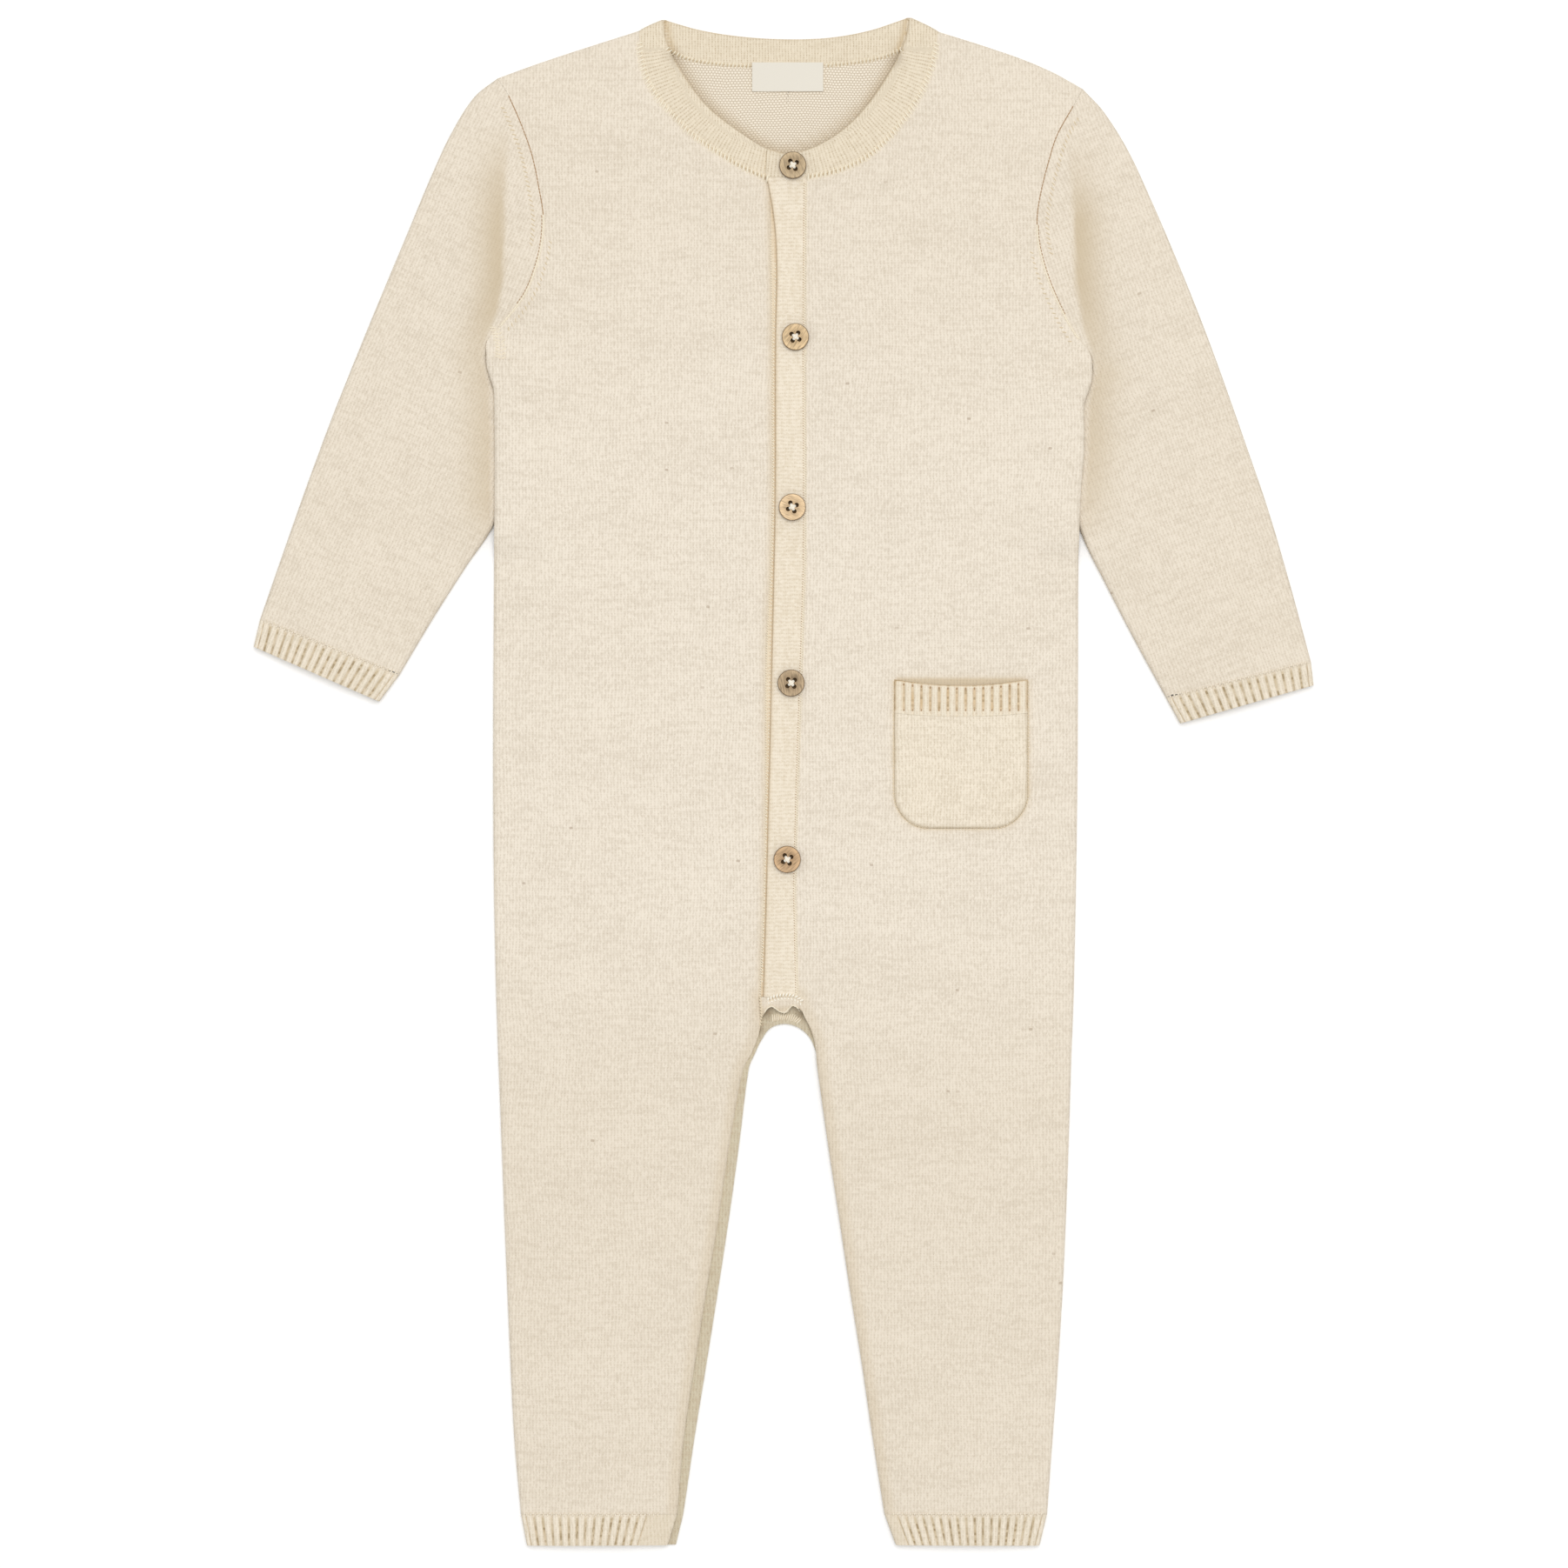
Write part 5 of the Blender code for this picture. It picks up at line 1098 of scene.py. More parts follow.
def build_pocket():
    """The patch pocket on the wearer's left, its sewn edges rolled down to the panel, and the ribbed border
    of its mouth."""
    p = POCKET
    turns = np.linspace(POCKET_FIRST_TURN, math.pi / 2, POCKET_CORNER_ROWS)
    corners = p["bottom"] + p["corner"] * (1 - np.cos(turns))
    sides = np.linspace(corners[-1], p["seam"] - SEAM / 2, POCKET_SIDE_ROWS)[1:]
    flat = np.array([[(x, y) for x in pocket_columns(y)] for y in [*corners, *sides]])
    inner = np.array([[pocket_point(x, y) for x, y in row] for row in flat])
    away = distance_to([pocket_outline()], flat[..., 0], flat[..., 1])
    edge, share = np.array(POCKET_EDGE).T
    thickness = p["thickness"] * np.interp(away, edge, share)
    outer = inner.copy()
    outer[..., 2] += thickness
    cloth_piece("pocket", inner, outer)

    count, pitch = pocket_ribs()
    columns = [(p["left"] + away, share, 0.0) for away, share in POCKET_EDGE]
    for i in range(count):
        columns += [(p["left"] + p["margin"] + (i + share) * pitch, 1.0, rise) for share, rise in RIB_PROFILE]
    columns += [(p["right"] - away, share, 0.0) for away, share in POCKET_EDGE[::-1]]
    inner, outer = [], []
    for from_seam, from_top, ribbed, full in POCKET_RIB_ROWS:
        y = p["top"] - from_top if from_seam is None else p["seam"] + from_seam
        row = np.array([pocket_point(x, y) for x, _, _ in columns])
        rise = np.array([[0, 0, p["thickness"] * share * full + ribbed * up] for _, share, up in columns])
        inner.append(row)
        outer.append(row + rise)
    cloth_piece("pocket_rib", np.array(inner), np.array(outer))


def build_label():
    """The blank woven label, hung from the back neck seam."""
    p = LABEL
    inner = []
    for y in np.linspace(p["bottom"], p["top"], 3):
        rise = BAND + SEAM - (p["dip"] if y < BACK_NECK_MIDDLE[1] else 0)
        inner.append([(x, y, rise) for x in np.linspace(p["left"], p["right"], 5)])
    inner = np.array(inner)
    cloth_piece("label", inner, inner + [0, 0, p["thickness"]])


def ripple(x, y, seed, shortest, longest, waves=14):
    """Uneven soft waves between -1 and 1 or so."""
    rng = np.random.default_rng(seed)
    total = np.zeros(np.shape(x))
    for _ in range(waves):
        heading, phase = rng.uniform(0, 2 * math.pi, 2)
        length = rng.uniform(shortest, longest)
        turn = 2 * math.pi / length * (x * math.cos(heading) + y * math.sin(heading))
        total += np.sin(turn + phase)
    return total / math.sqrt(waves)


def pocket_outline():
    """The pocket's sewn edge: down one side, round the bottom and up the other side."""
    p = POCKET
    rows = [p["bottom"] + p["corner"] * (1 - math.cos(turn)) for turn in np.linspace(0, math.pi / 2, 9)]
    rows = [*rows, p["seam"], p["top"] - 0.5]
    ends = [(pocket_ends(y), y) for y in rows]
    return np.array([(left, y) for (left, _), y in ends[::-1]] + [(right, y) for (_, right), y in ends])


def relief(x, y):
    """How far the lying cloth rises or sinks at each point, on top of its main form."""
    total = RIPPLE * ripple(x, y, 11, 24, 80) + FINE_RIPPLE * ripple(x, y, 12, 8, 18)
    wobble = 1 + 0.3 * ripple(x, y, 13, 14, 40)
    lines = CREASES + [(pocket_outline(), *POCKET_GROOVE)]
    lines += [(FRONT_INNER[side]["shoulder"], *NECK_GROOVE) for side in SIDE]
    lines += [(SIDE[side]["yoke"] + SIDE[side]["shoulder"][:3], *ARMHOLE_GROOVE) for side in SIDE]
    for line, depth, half_width in lines:
        x_low, y_low = np.min(line, axis=0) - 3 * half_width
        x_high, y_high = np.max(line, axis=0) + 3 * half_width
        near = (x > x_low) & (x < x_high) & (y > y_low) & (y < y_high)
        away = distance_to([line], x[near], y[near])
        total[near] -= depth * wobble[near] * np.exp(-((away / half_width) ** 2))
    return total


def turned(x, y, degrees):
    """Places along two axes that are turned from X and Y."""
    turn = math.radians(degrees)
    return x * math.cos(turn) + y * math.sin(turn), y * math.cos(turn) - x * math.sin(turn)


def grain_of(node, x, y):
    """Place across and along the wales, in mm."""
    if node == "neckband":
        dx, dy = x - NECK_CENTRE[0], y - NECK_CENTRE[1]
        radius = np.hypot(dx, dy)
        front = smoothstep((314 - y) / 6) * smoothstep((radius - 48) / 3) > 0.5
        return np.where(front, np.arctan2(dx, -dy) * NECK_RADIUS, 1.2 * x), np.where(front, radius, y)
    wander = 0.45 * ripple(x, y, 5, 40, 120)
    across, along = turned(x, y, CLOTH_PIECES[node]["tilt"])
    return across + wander, along + wander


NECK_OPENING = [NECK_FRONT[side]["opening"] for side in SIDE]


def rib_start(node):
    """The seam at which a ribbed piece starts."""
    if node == "pocket_rib":
        return [(POCKET["left"], POCKET["seam"]), (POCKET["right"], POCKET["seam"])]
    side = node.split("_")[-1]
    if "leg" in node:
        return [SIDE[side]["leg"][0], FRONT_INNER[side]["leg"][0]]
    return [SLEEVE[side]["top"][0], SLEEVE[side]["under"][0]]


def warm_shade_beside(kind, lines, x, y):
    """Painted warm shade on lines and close to them, with a soft end."""
    most, reach, start = WARM_SHADE_LINES[kind]
    return most * (1 - smoothstep((distance_to(lines, x, y) - start) / reach))


def pocket_shade_unevenness(x, y):
    """How strongly the painted warm shade beside the pocket's edge shows."""
    return np.clip(0.9 + 0.5 * ripple(x, y, 23, 6, 18), 0.35, 1.3)


def warm_shade_of(node, x, y, rise):
    """Share of the painted warm shade: in the grooves of ribs, along sewn edges and where the pocket gapes.
    """
    # Painted warm shade in the grooves of ribs
    if "rib" in CLOTH_PIECES[node]["look"]:
        groove = GROOVE_SHADE * np.clip(rise / RIB_GROOVE, 0, 1) ** 1.8
        groove *= np.clip(0.92 + 0.16 * ripple(x, y, 21, 5, 12), 0.5, 1.15)
        return groove * smoothstep((distance_to([rib_start(node)], x, y) - 0.3) / 1.6)
    warm = np.zeros(len(x))
    # Painted shade on the inside of the back, along the neck opening
    if node == "back":
        warm = warm_shade_beside("neck_inside", NECK_OPENING, x, y) * (y > NECK_INSIDE_FROM)
    # Painted shade on the neckband's back part, inside the neck
    if node == "neckband":
        right, left = (np.array(line) for line in NECK_OPENING)
        inside = x > np.interp(y, right[1:, 1], right[1:, 0]) + 0.2
        inside &= x < np.interp(y, left[2:, 1], left[2:, 0]) - 0.2
        warm = warm_shade_beside("neckband", NECK_OPENING, x, y) * (inside & (y > NECKBAND_SHADE_FROM))
    # Painted warm shade towards the tab's lower edge
    if node == "crotch_tab":
        warm = 0.2 + 0.4 * smoothstep((-94.5 - y) / 3.0)
    # Painted warm shade along the inner legs and the crotch
    if node in ("front_right", "front_left"):
        edge = FRONT_INNER[node.split("_")[1]]
        warm = warm_shade_beside("inseam", [edge["leg"] + edge["crotch"]], x, y)
    # Painted shade beside the front opening
    if node == "front_right":
        opening = [point for name in OPENING for point in FRONT_INNER["right"][name]]
        warm = np.maximum(warm, warm_shade_beside("opening", [opening], x, y))
    # Painted shadow in the pocket's gaping mouth, and painted shade round its edge
    if node == "front_left":
        p = POCKET
        mouth = smoothstep((y - p["top"] + 5) / 2) * (1 - smoothstep((y - p["top"] - 0.2) / 1.6))
        mouth *= smoothstep((x - p["left"]) / 2) * smoothstep((p["right"] - x) / 2)
        round_it = warm_shade_beside("round_pocket", [pocket_outline()], x, y) * pocket_shade_unevenness(x, y)
        warm = np.maximum(warm, np.maximum(0.8 * mouth, round_it))
    # Painted shade under the top placket's free edge
    if node in ("placket_under", "placket_top"):
        edge = smooth_line(PLACKET_FREE_EDGE, 60)
        away = x - np.interp(y, edge[:, 1], edge[:, 0])
        warm = 0.4 * (1 - smoothstep((away - 0.2) / 1.4))
        if node == "placket_under":
            warm = 0.05 + 0.6 * smoothstep((away + 1.5) / 1.3)
    # Painted shade along the pocket's sewn edge
    if node == "pocket":
        warm = warm_shade_beside("pocket", [pocket_outline()], x, y) * pocket_shade_unevenness(x, y)
    return warm


def button_middle(node):
    """x and y of a button's middle."""
    low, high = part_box(node)
    return ((low[0] + high[0]) / 2 / MM, (low[1] + high[1]) / 2 / MM)


def deep_shade_of(node, x, y):
    """Share of the painted deepest shade: in the corners under the crotch tab and of the back neck, and on
    the cloth below the buttons' holes."""
    corners = {"inseam_band": CROTCH_SHADE_CORNERS, "back": CROTCH_SHADE_CORNERS + NECK_SHADE_CORNERS, "neckband": NECK_SHADE_CORNERS}
    depth = np.zeros(len(x))
    for place_x, place_y, reach, deep in corners.get(node, []):
        depth = np.maximum(depth, deep * np.exp(-(((x - place_x) ** 2 + (y - place_y) ** 2) / reach**2)))
    if node in ("placket_top", "neckband"):
        for middle_x, middle_y in (button_middle(button) for button in BUTTONS):
            depth = np.maximum(depth, 1 - smoothstep(np.hypot(x - middle_x, y - middle_y) - HOLE_SHADOW))
    return depth


def shade_of(node, x, y, upright):
    """Share of the shaded tone: on upright surfaces, in the valleys beside the armholes and down the legs."""
    shade = EDGE_SHADE * smoothstep(upright / 0.8)
    if node.startswith("front"):
        out, low, high = UNDERARM
        shade = np.where((np.abs(x) > out) & (y > low) & (y < high), UNDERARM_SHARE * shade, shade)
        shade = np.maximum(shade, LEG_SHADE * smoothstep((-40 - y) / 120))
        shade = np.maximum(shade, YOKE_SHADE * smoothstep((y - 110) / 160))
    if node.startswith("cuff_leg"):
        side = node.split("_")[-1]
        away = distance_to([[FRONT_INNER[side]["leg"][0], LEG_HEM[side][1]]], x, y)
        shade = np.maximum(shade, PLAIN_SHADE * (1 - smoothstep((away - LEG_RIB_END[side]) / 2.5)))
    if node.startswith("sleeve"):
        line = np.array(VALLEYS[node.split("_")[1]][::-1])
        away = np.abs(x) - np.abs(np.interp(y, line[:, 1], line[:, 0]))
        depth = np.interp(y, line[:, 1], line[:, 2])
        across = smoothstep((away + VALLEY_EDGE) / (2 * VALLEY_EDGE))
        across *= np.exp(-((np.maximum(away - VALLEY_EDGE, 0) / VALLEY_REACH) ** 2))
        shade = np.maximum(shade, SLEEVE_SHADE + (VALLEY_SHADE - SLEEVE_SHADE) * depth * across)
    return shade


# ---------------------------------------------------------------- materials


class Shader:
    """A Principled material and short ways to add nodes to it."""

    def __init__(self, name, roughness, sheen=0.0, specular=0.3):
        self.material = bpy.data.materials.new(name)
        self.material.use_nodes = True
        self.tree = self.material.node_tree
        self.principled = self.tree.nodes["Principled BSDF"]
        for socket, value in (("Roughness", roughness), ("Sheen Weight", sheen), ("Sheen Roughness", 0.5),
                              ("Specular IOR Level", specular)):
            self.principled.inputs[socket].default_value = value

    def put(self, socket, value):
        """Links an output to an input socket, or sets the socket to a number or colour."""
        if isinstance(value, bpy.types.NodeSocket):
            self.tree.links.new(value, socket)
        else:
            socket.default_value = value

    def plus(self, *values):
        """A sum."""
        return self.math("ADD", *values)

    def minus(self, *values):
        """A difference."""
        return self.math("SUBTRACT", *values)

    def times(self, *values):
        """A product."""
        return self.math("MULTIPLY", *values)

    def floor(self, value):
        """The whole number below."""
        return self.math("FLOOR", value)

    def wave(self, value):
        """A row of bumps between 0 and 1, one for each unit."""
        return self.math("ABSOLUTE", self.math("SINE", self.times(value, math.pi)))

    def math(self, operation, *values):
        """A Math node's result."""
        node = self.tree.nodes.new("ShaderNodeMath")
        node.operation = operation
        for socket, value in zip(node.inputs, values):
            self.put(socket, value)
        return node.outputs[0]

    def mix(self, share, a, b):
        """A blend of two colours."""
        node = self.tree.nodes.new("ShaderNodeMix")
        node.data_type = "RGBA"
        self.put(node.inputs["Factor"], share)
        self.put(node.inputs[6], a)
        self.put(node.inputs[7], b)
        return node.outputs[2]

    def rise(self, value, low, high):
        """value mapped from low..high to 0..1, softly."""
        node = self.tree.nodes.new("ShaderNodeMapRange")
        node.interpolation_type = "SMOOTHSTEP"
        self.put(node.inputs["Value"], value)
        node.inputs["From Min"].default_value = low
        node.inputs["From Max"].default_value = high
        return node.outputs["Result"]

    def vector(self, x, y, z=0.0):
        """A vector from three values."""
        node = self.tree.nodes.new("ShaderNodeCombineXYZ")
        for socket, value in zip(node.inputs, (x, y, z)):
            self.put(socket, value)
        return node.outputs[0]

    def scaled(self, across, along, across_size, along_size):
        """A vector in which features have about these sizes."""
        return self.vector(self.math("DIVIDE", across, across_size), self.math("DIVIDE", along, along_size))

    def noise(self, vector, detail=2.0):
        """Noise around 0.5."""
        node = self.tree.nodes.new("ShaderNodeTexNoise")
        node.inputs["Scale"].default_value = 1.0
        node.inputs["Detail"].default_value = detail
        self.put(node.inputs["Vector"], vector)
        return node.outputs["Fac"]

    def cell(self, vector):
        """A random value for each unit cell."""
        node = self.tree.nodes.new("ShaderNodeTexWhiteNoise")
        node.noise_dimensions = "2D"
        self.put(node.inputs["Vector"], vector)
        return node.outputs["Value"]

    def attribute(self, name):
        """The three parts of a vector attribute."""
        node = self.tree.nodes.new("ShaderNodeAttribute")
        node.attribute_name = name
        split = self.tree.nodes.new("ShaderNodeSeparateXYZ")
        self.tree.links.new(node.outputs["Vector"], split.inputs[0])
        return split.outputs[0], split.outputs[1], split.outputs[2]

    def bump(self, height, strength, distance):
        """Bumps the surface."""
        node = self.tree.nodes.new("ShaderNodeBump")
        node.inputs["Strength"].default_value = strength
        node.inputs["Distance"].default_value = distance
        self.put(node.inputs["Height"], height)
        self.tree.links.new(node.outputs["Normal"], self.principled.inputs["Normal"])


def knit_look(name, light, dark, fleck, tan, wale=WALE, course=COURSE, gap_shade_share=0.4, specks=0.0, pit_shade=0.0):
    """Plain knit: columns of stitches whose gaps are darkened with painted shade, in a yarn that is darker in
    faint streaks across. The colours are sRGB. dark is the painted shade in the gaps, tan is the tone of the
    painted warm shade and, a little darker, of the plain painted shade, and pit_shade paints shade on some
    stitches in the grooves of ribs."""
    s = Shader(name, roughness=0.95, sheen=0.08, specular=0.1)
    across, along, inside = s.attribute("grain")
    # Painted shade: the warm shade, the plain shade and the deepest shade
    warm, shade, deep = s.attribute("tone")
    drift = s.minus(s.noise(s.scaled(across, along, 7.0, 9.0), 1.0), 0.5)
    a = s.math("DIVIDE", s.plus(across, drift), wale)
    b = s.math("DIVIDE", s.plus(along, drift), course)

    # The face: each column is a chain of Vs, and the gaps between columns are darkened by painted shade
    # between two stitches.
    off_middle = s.math("ABSOLUTE", s.minus(s.math("FRACT", a), 0.5))
    leg = s.plus(b, s.times(off_middle, 1.3))
    stitch = s.cell(s.vector(s.floor(s.times(a, 2.0)), s.floor(leg)))
    between = s.cell(s.vector(s.floor(s.plus(a, 0.5)), s.floor(s.plus(leg, 0.5))))
    face_depth = s.times(s.rise(off_middle, 0.18, 0.5), s.minus(1.0, s.times(s.wave(leg), 0.75)))
    face_depth = s.times(face_depth, s.plus(0.45, between))

    # The inside: rows of round bumps, each row half a bump further along.
    shifted = s.plus(a, s.times(s.floor(b), 0.5))
    purl_depth = s.minus(1.0, s.rise(s.times(s.wave(shifted), s.wave(b)), 0.0, 0.7))
    depth = s.plus(s.times(face_depth, s.minus(1.0, inside)), s.times(purl_depth, inside))
    dark_share = s.plus(gap_shade_share, s.times(inside, PURL_SHARE - gap_shade_share))

    # The yarn: streaks across, single stitches and wide clouds.
    streaks = s.rise(s.noise(s.scaled(across, along, 13.0, 1.8), 4.0), 0.42, 0.72)
    clouds = s.minus(s.noise(s.scaled(across, along, 70.0, 20.0), 2.0), 0.5)
    share = s.plus(s.plus(s.times(streaks, 0.36), s.times(stitch, 0.7)), s.times(clouds, 0.6))
    yarn = s.mix(s.rise(share, 0.0, 1.0), linear(light), linear(fleck))
    speck = s.rise(s.cell(s.vector(s.floor(b), s.floor(a))), 0.9996, 0.9999)
    yarn = s.mix(s.times(speck, specks), yarn, linear(SPECK))
    yarn = s.mix(s.times(inside, 0.75), yarn, linear(PURL_LIGHT))
    # Painted shade: warm shade on the yarn, shade in the gaps between stitches, in some stitches of the ribs'
    # grooves, the plain shade and the deepest shade
    yarn = s.mix(warm, yarn, linear(tan))
    colour = s.mix(s.times(depth, dark_share), yarn, linear(dark))
    if pit_shade:
        pit = s.cell(s.vector(s.floor(s.math("DIVIDE", across, RIB_PITCH)), s.floor(b)))
        pit = s.times(s.rise(warm, 0.5, 0.85), s.rise(pit, 0.1, 0.9))
        colour = s.mix(s.times(pit, pit_shade), colour, linear(PIT_SHADE))
    colour = s.mix(shade, colour, linear([0.965 * channel for channel in tan]))
    colour = s.mix(deep, colour, linear(DEEPEST_SHADE))
    s.put(s.principled.inputs["Base Color"], colour)
    s.bump(s.minus(1.0, depth), 0.35, 0.25 * MM)
    return s.material


def label_look():
    """Off-white woven satin."""
    s = Shader("label_satin", roughness=0.55, sheen=0.1, specular=0.35)
    _, along, _ = s.attribute("grain")
    threads = s.math("ABSOLUTE", s.math("SINE", s.times(along, math.pi / 0.35)))
    colour = s.mix(s.times(threads, 0.35), linear((223, 217, 204)), linear((212, 206, 192)))
    s.put(s.principled.inputs["Base Color"], colour)
    s.bump(threads, 0.2, 0.1 * MM)
    return s.material


def thread_look(name, light, dark):
    """Sewing thread with a twist along it: the grain is the place along the thread and round it."""
    s = Shader(name, roughness=0.8, sheen=0.1, specular=0.15)
    along, round_it, _ = s.attribute("grain")
    twist = s.math("ABSOLUTE", s.math("SINE", s.plus(s.times(along, 7.0), round_it)))
    s.put(s.principled.inputs["Base Color"], s.mix(s.rise(twist, 0.0, 0.7), linear(dark), linear(light)))
    return s.material


def wood_look(name, wood, burnt=(84, 60, 40)):
    """Pale wood with fine grain, a burnt rim and holes whose walls are painted black as shade. The grain is
    the place across and along the grain.
    """
    s = Shader(name, roughness=0.55, specular=0.25)
    across, along, _ = s.attribute("grain")
    burn_and_shade, _, _ = s.attribute("tone")
    lines = s.noise(s.scaled(across, along, 0.5, 4.0), 3.0)
    patch = s.noise(s.scaled(across, along, 2.6, 5.0), 2.0)
    dark = tuple(0.8 * channel for channel in wood)
    pale = tuple(min(255, 1.06 * channel) for channel in wood)
    colour = s.mix(s.rise(lines, 0.4, 0.7), linear(pale), linear(dark))
    colour = s.mix(s.times(s.rise(patch, 0.45, 0.75), 0.4), colour, linear(dark))
    colour = s.mix(burn_and_shade, colour, linear(burnt))
    # Painted shade: on the holes' walls, values above 1 turn the wood black
    colour = s.mix(s.minus(burn_and_shade, 1.0), colour, linear((30, 22, 16)))
    s.put(s.principled.inputs["Base Color"], colour)
    s.bump(lines, 0.15, 0.1 * MM)
    return s.material


LOOKS = {look: knit_look(*tones, **options) for look, (*tones, options) in KNITS.items()}
LOOKS["label"] = label_look()
LOOKS |= {name: thread_look(name, *tones) for name, tones in THREADS.items()}

# ---------------------------------------------------------------- cloth


def subdivided(grid, axis, cell, closed=False):
    """A grid with more points along an axis, on smooth lines through the given ones, at most a cell apart."""
    p = np.moveaxis(grid, axis, 0)
    if closed:
        p = np.concatenate([p[-1:], p, p[:2]])
    step = np.maximum(np.linalg.norm(np.diff(p, axis=0), axis=-1, keepdims=True), 1e-6)
    slope = np.diff(p, axis=0) / step
    middle = (p[2:] - p[:-2]) / (step[1:] + step[:-1])
    tangent = np.concatenate([slope[:1], middle, slope[-1:]])
    rows = []
    for i in range(1, len(p) - 2) if closed else range(len(p) - 1):
        shares = np.linspace(0, 1, math.ceil(np.median(step[i]) / cell), endpoint=False)
        rows += [curve(p, tangent, step, i, share) for share in shares]
    if not closed:
        rows.append(p[-1])
    return np.moveaxis(np.array(rows), 0, axis)


def corner_numbers(rows, columns, closed=False):
    """Numbers of a grid's corners. In a closed grid the first column comes again at the end."""
    numbers = np.arange(rows * columns).reshape(rows, columns)
    return np.column_stack([numbers, numbers[:, 0]]) if closed else numbers


def quads(a, b):
    """Faces between two equal rows of corner numbers."""
    return np.stack([a[..., :-1], a[..., 1:], b[..., 1:], b[..., :-1]], axis=-1).reshape(-1, 4)


def wall_points(both):
    """Points of a wall between two grids that are given side by side, the inner one first."""
    return np.vstack([both[..., :3].reshape(-1, 3), both[..., 3:].reshape(-1, 3)])


def wall_faces(rows, columns, ring=False, open_rows=(0, 0)):
    """Corner numbers of the faces of a wall between two grids, the inner one numbered first. open_rows is a
    range of rows whose end column has no rim."""
    inner = corner_numbers(rows, columns, ring)
    outer = inner + rows * columns
    faces = [quads(outer[:-1], outer[1:]), quads(inner[1:], inner[:-1]), quads(inner[0], outer[0]),
             quads(outer[-1], inner[-1])]
    if not ring:
        faces.append(quads(outer[:, 0], inner[:, 0]))
        far = quads(inner[:, -1], outer[:, -1])
        faces.append(np.delete(far, slice(*open_rows), axis=0))
    return np.vstack(faces)


def cloth_piece(node, inner, outer, ring=False):
    """The fine wall between two coarse grids, as a piece that replaces a CAD node."""
    cell = CLOTH_PIECES[node]["cell"]
    both = np.concatenate([inner, outer], axis=2)
    both = subdivided(subdivided(both, 0, cell), 1, cell, closed=ring)
    rise = np.linalg.norm(both[..., 3:] - both[..., :3], axis=2).ravel() - CLOTH
    make_piece(node, wall_points(both), wall_faces(*both.shape[:2], ring), np.concatenate([rise, rise]))


def settled(points):
    """The points on the lying cloth's relief, which is less the nearer they are to the floor."""
    moved = points.copy()
    share = np.clip(points[:, 2] / RELIEF_RAMP, 0, 1)
    moved[:, 2] += relief(points[:, 0], points[:, 1]) * share
    moved[:, 2] = np.maximum(moved[:, 2], 0)
    return moved


def new_mesh(name, points, faces, material):
    """A smooth mesh object with sharp rims, from points in mm."""
    mesh = bpy.data.meshes.new(name)
    mesh.from_pydata((points * MM).tolist(), [], [list(face) for face in faces])
    bm = bmesh.new()
    bm.from_mesh(mesh)
    bmesh.ops.recalc_face_normals(bm, faces=bm.faces)
    bm.to_mesh(mesh)
    bm.free()
    mesh.shade_smooth()
    mesh.set_sharp_from_angle(angle=math.radians(SHARP))
    mesh.materials.append(material)
    obj = bpy.data.objects.new(name, mesh)
    bpy.context.scene.collection.objects.link(obj)
    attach(obj, "root")
    return obj


def set_vector(mesh, name, *parts):
    """Stores three numbers for each of a mesh's points."""
    layer = mesh.attributes.new(name, "FLOAT_VECTOR", "POINT")
    layer.data.foreach_set("vector", np.column_stack(np.broadcast_arrays(*parts)).astype(float).ravel())


def make_piece(node, points, faces, rise):
    """A mesh object on the root body that replaces a CAD node, with its knit's coordinates and the shares of
    its painted shade.
    """
    row = CLOTH_PIECES[node]
    x, y = points[:, 0], points[:, 1]
    obj = new_mesh(f"cloth_{node}", settled(points), faces, LOOKS[row["look"]])
    normals = np.zeros(len(points) * 3)
    obj.data.vertices.foreach_get("normal", normals)
    facing = normals.reshape(-1, 3)[:, 2]
    set_vector(obj.data, "grain", *grain_of(node, x, y), (facing > 0) & (node == "back"))
    # Painted shade: on upright surfaces and in valleys, the warm shade, and the deepest shade in corners
    shade = shade_of(node, x, y, 0.9 - np.abs(facing))
    set_vector(obj.data, "tone", warm_shade_of(node, x, y, rise), shade, deep_shade_of(node, x, y))
    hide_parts(node)


def build_back():
    """The back in one piece: two halves that are merged down the middle."""
    cell = CLOTH_PIECES["back"]["cell"]
    halves = []
    for side in SIDE:
        inner = start_gap(rail([
            (BACK_INNER[side]["leg"], ROWS["leg"]),
            (BACK_INNER[side]["crotch"], ROWS["crotch"]),
            ([CROTCH_MIDDLE, BACK_NECK_MIDDLE], sum(ROWS[name] for name in OPENING)),
            (BACK_INNER[side]["neck"], ROWS["shoulder"]),
        ]))
        first, last = FIRST_ROW["trunk"], FIRST_ROW["shoulder"]
        grids = panel(side, inner, np.zeros(ROW_COUNT), lambda x, y: CLOTH + tuck_lift(x, y), face=-1)
        for grid in grids:
            grid[first : last + 1, -1, :2] = inner[first : last + 1]
        halves.append(np.concatenate(grids, axis=2))
    right, left = subdivided(subdivided(np.array(halves), 1, cell), 2, cell)
    on_middle = np.abs(right[:, -1, 0] - CROTCH_MIDDLE[0]) < 1e-6
    joined = (int(on_middle.argmax()), int(len(on_middle) - on_middle[::-1].argmax() - 1))
    half = wall_faces(*right.shape[:2], open_rows=joined)
    points = np.vstack([wall_points(right), wall_points(left)])
    faces = np.vstack([half, half[:, ::-1] + len(points) // 2])
    merged, index = np.unique(np.round(points, 4), axis=0, return_inverse=True)
    make_piece("back", merged, index.reshape(-1)[faces], np.zeros(len(merged)))


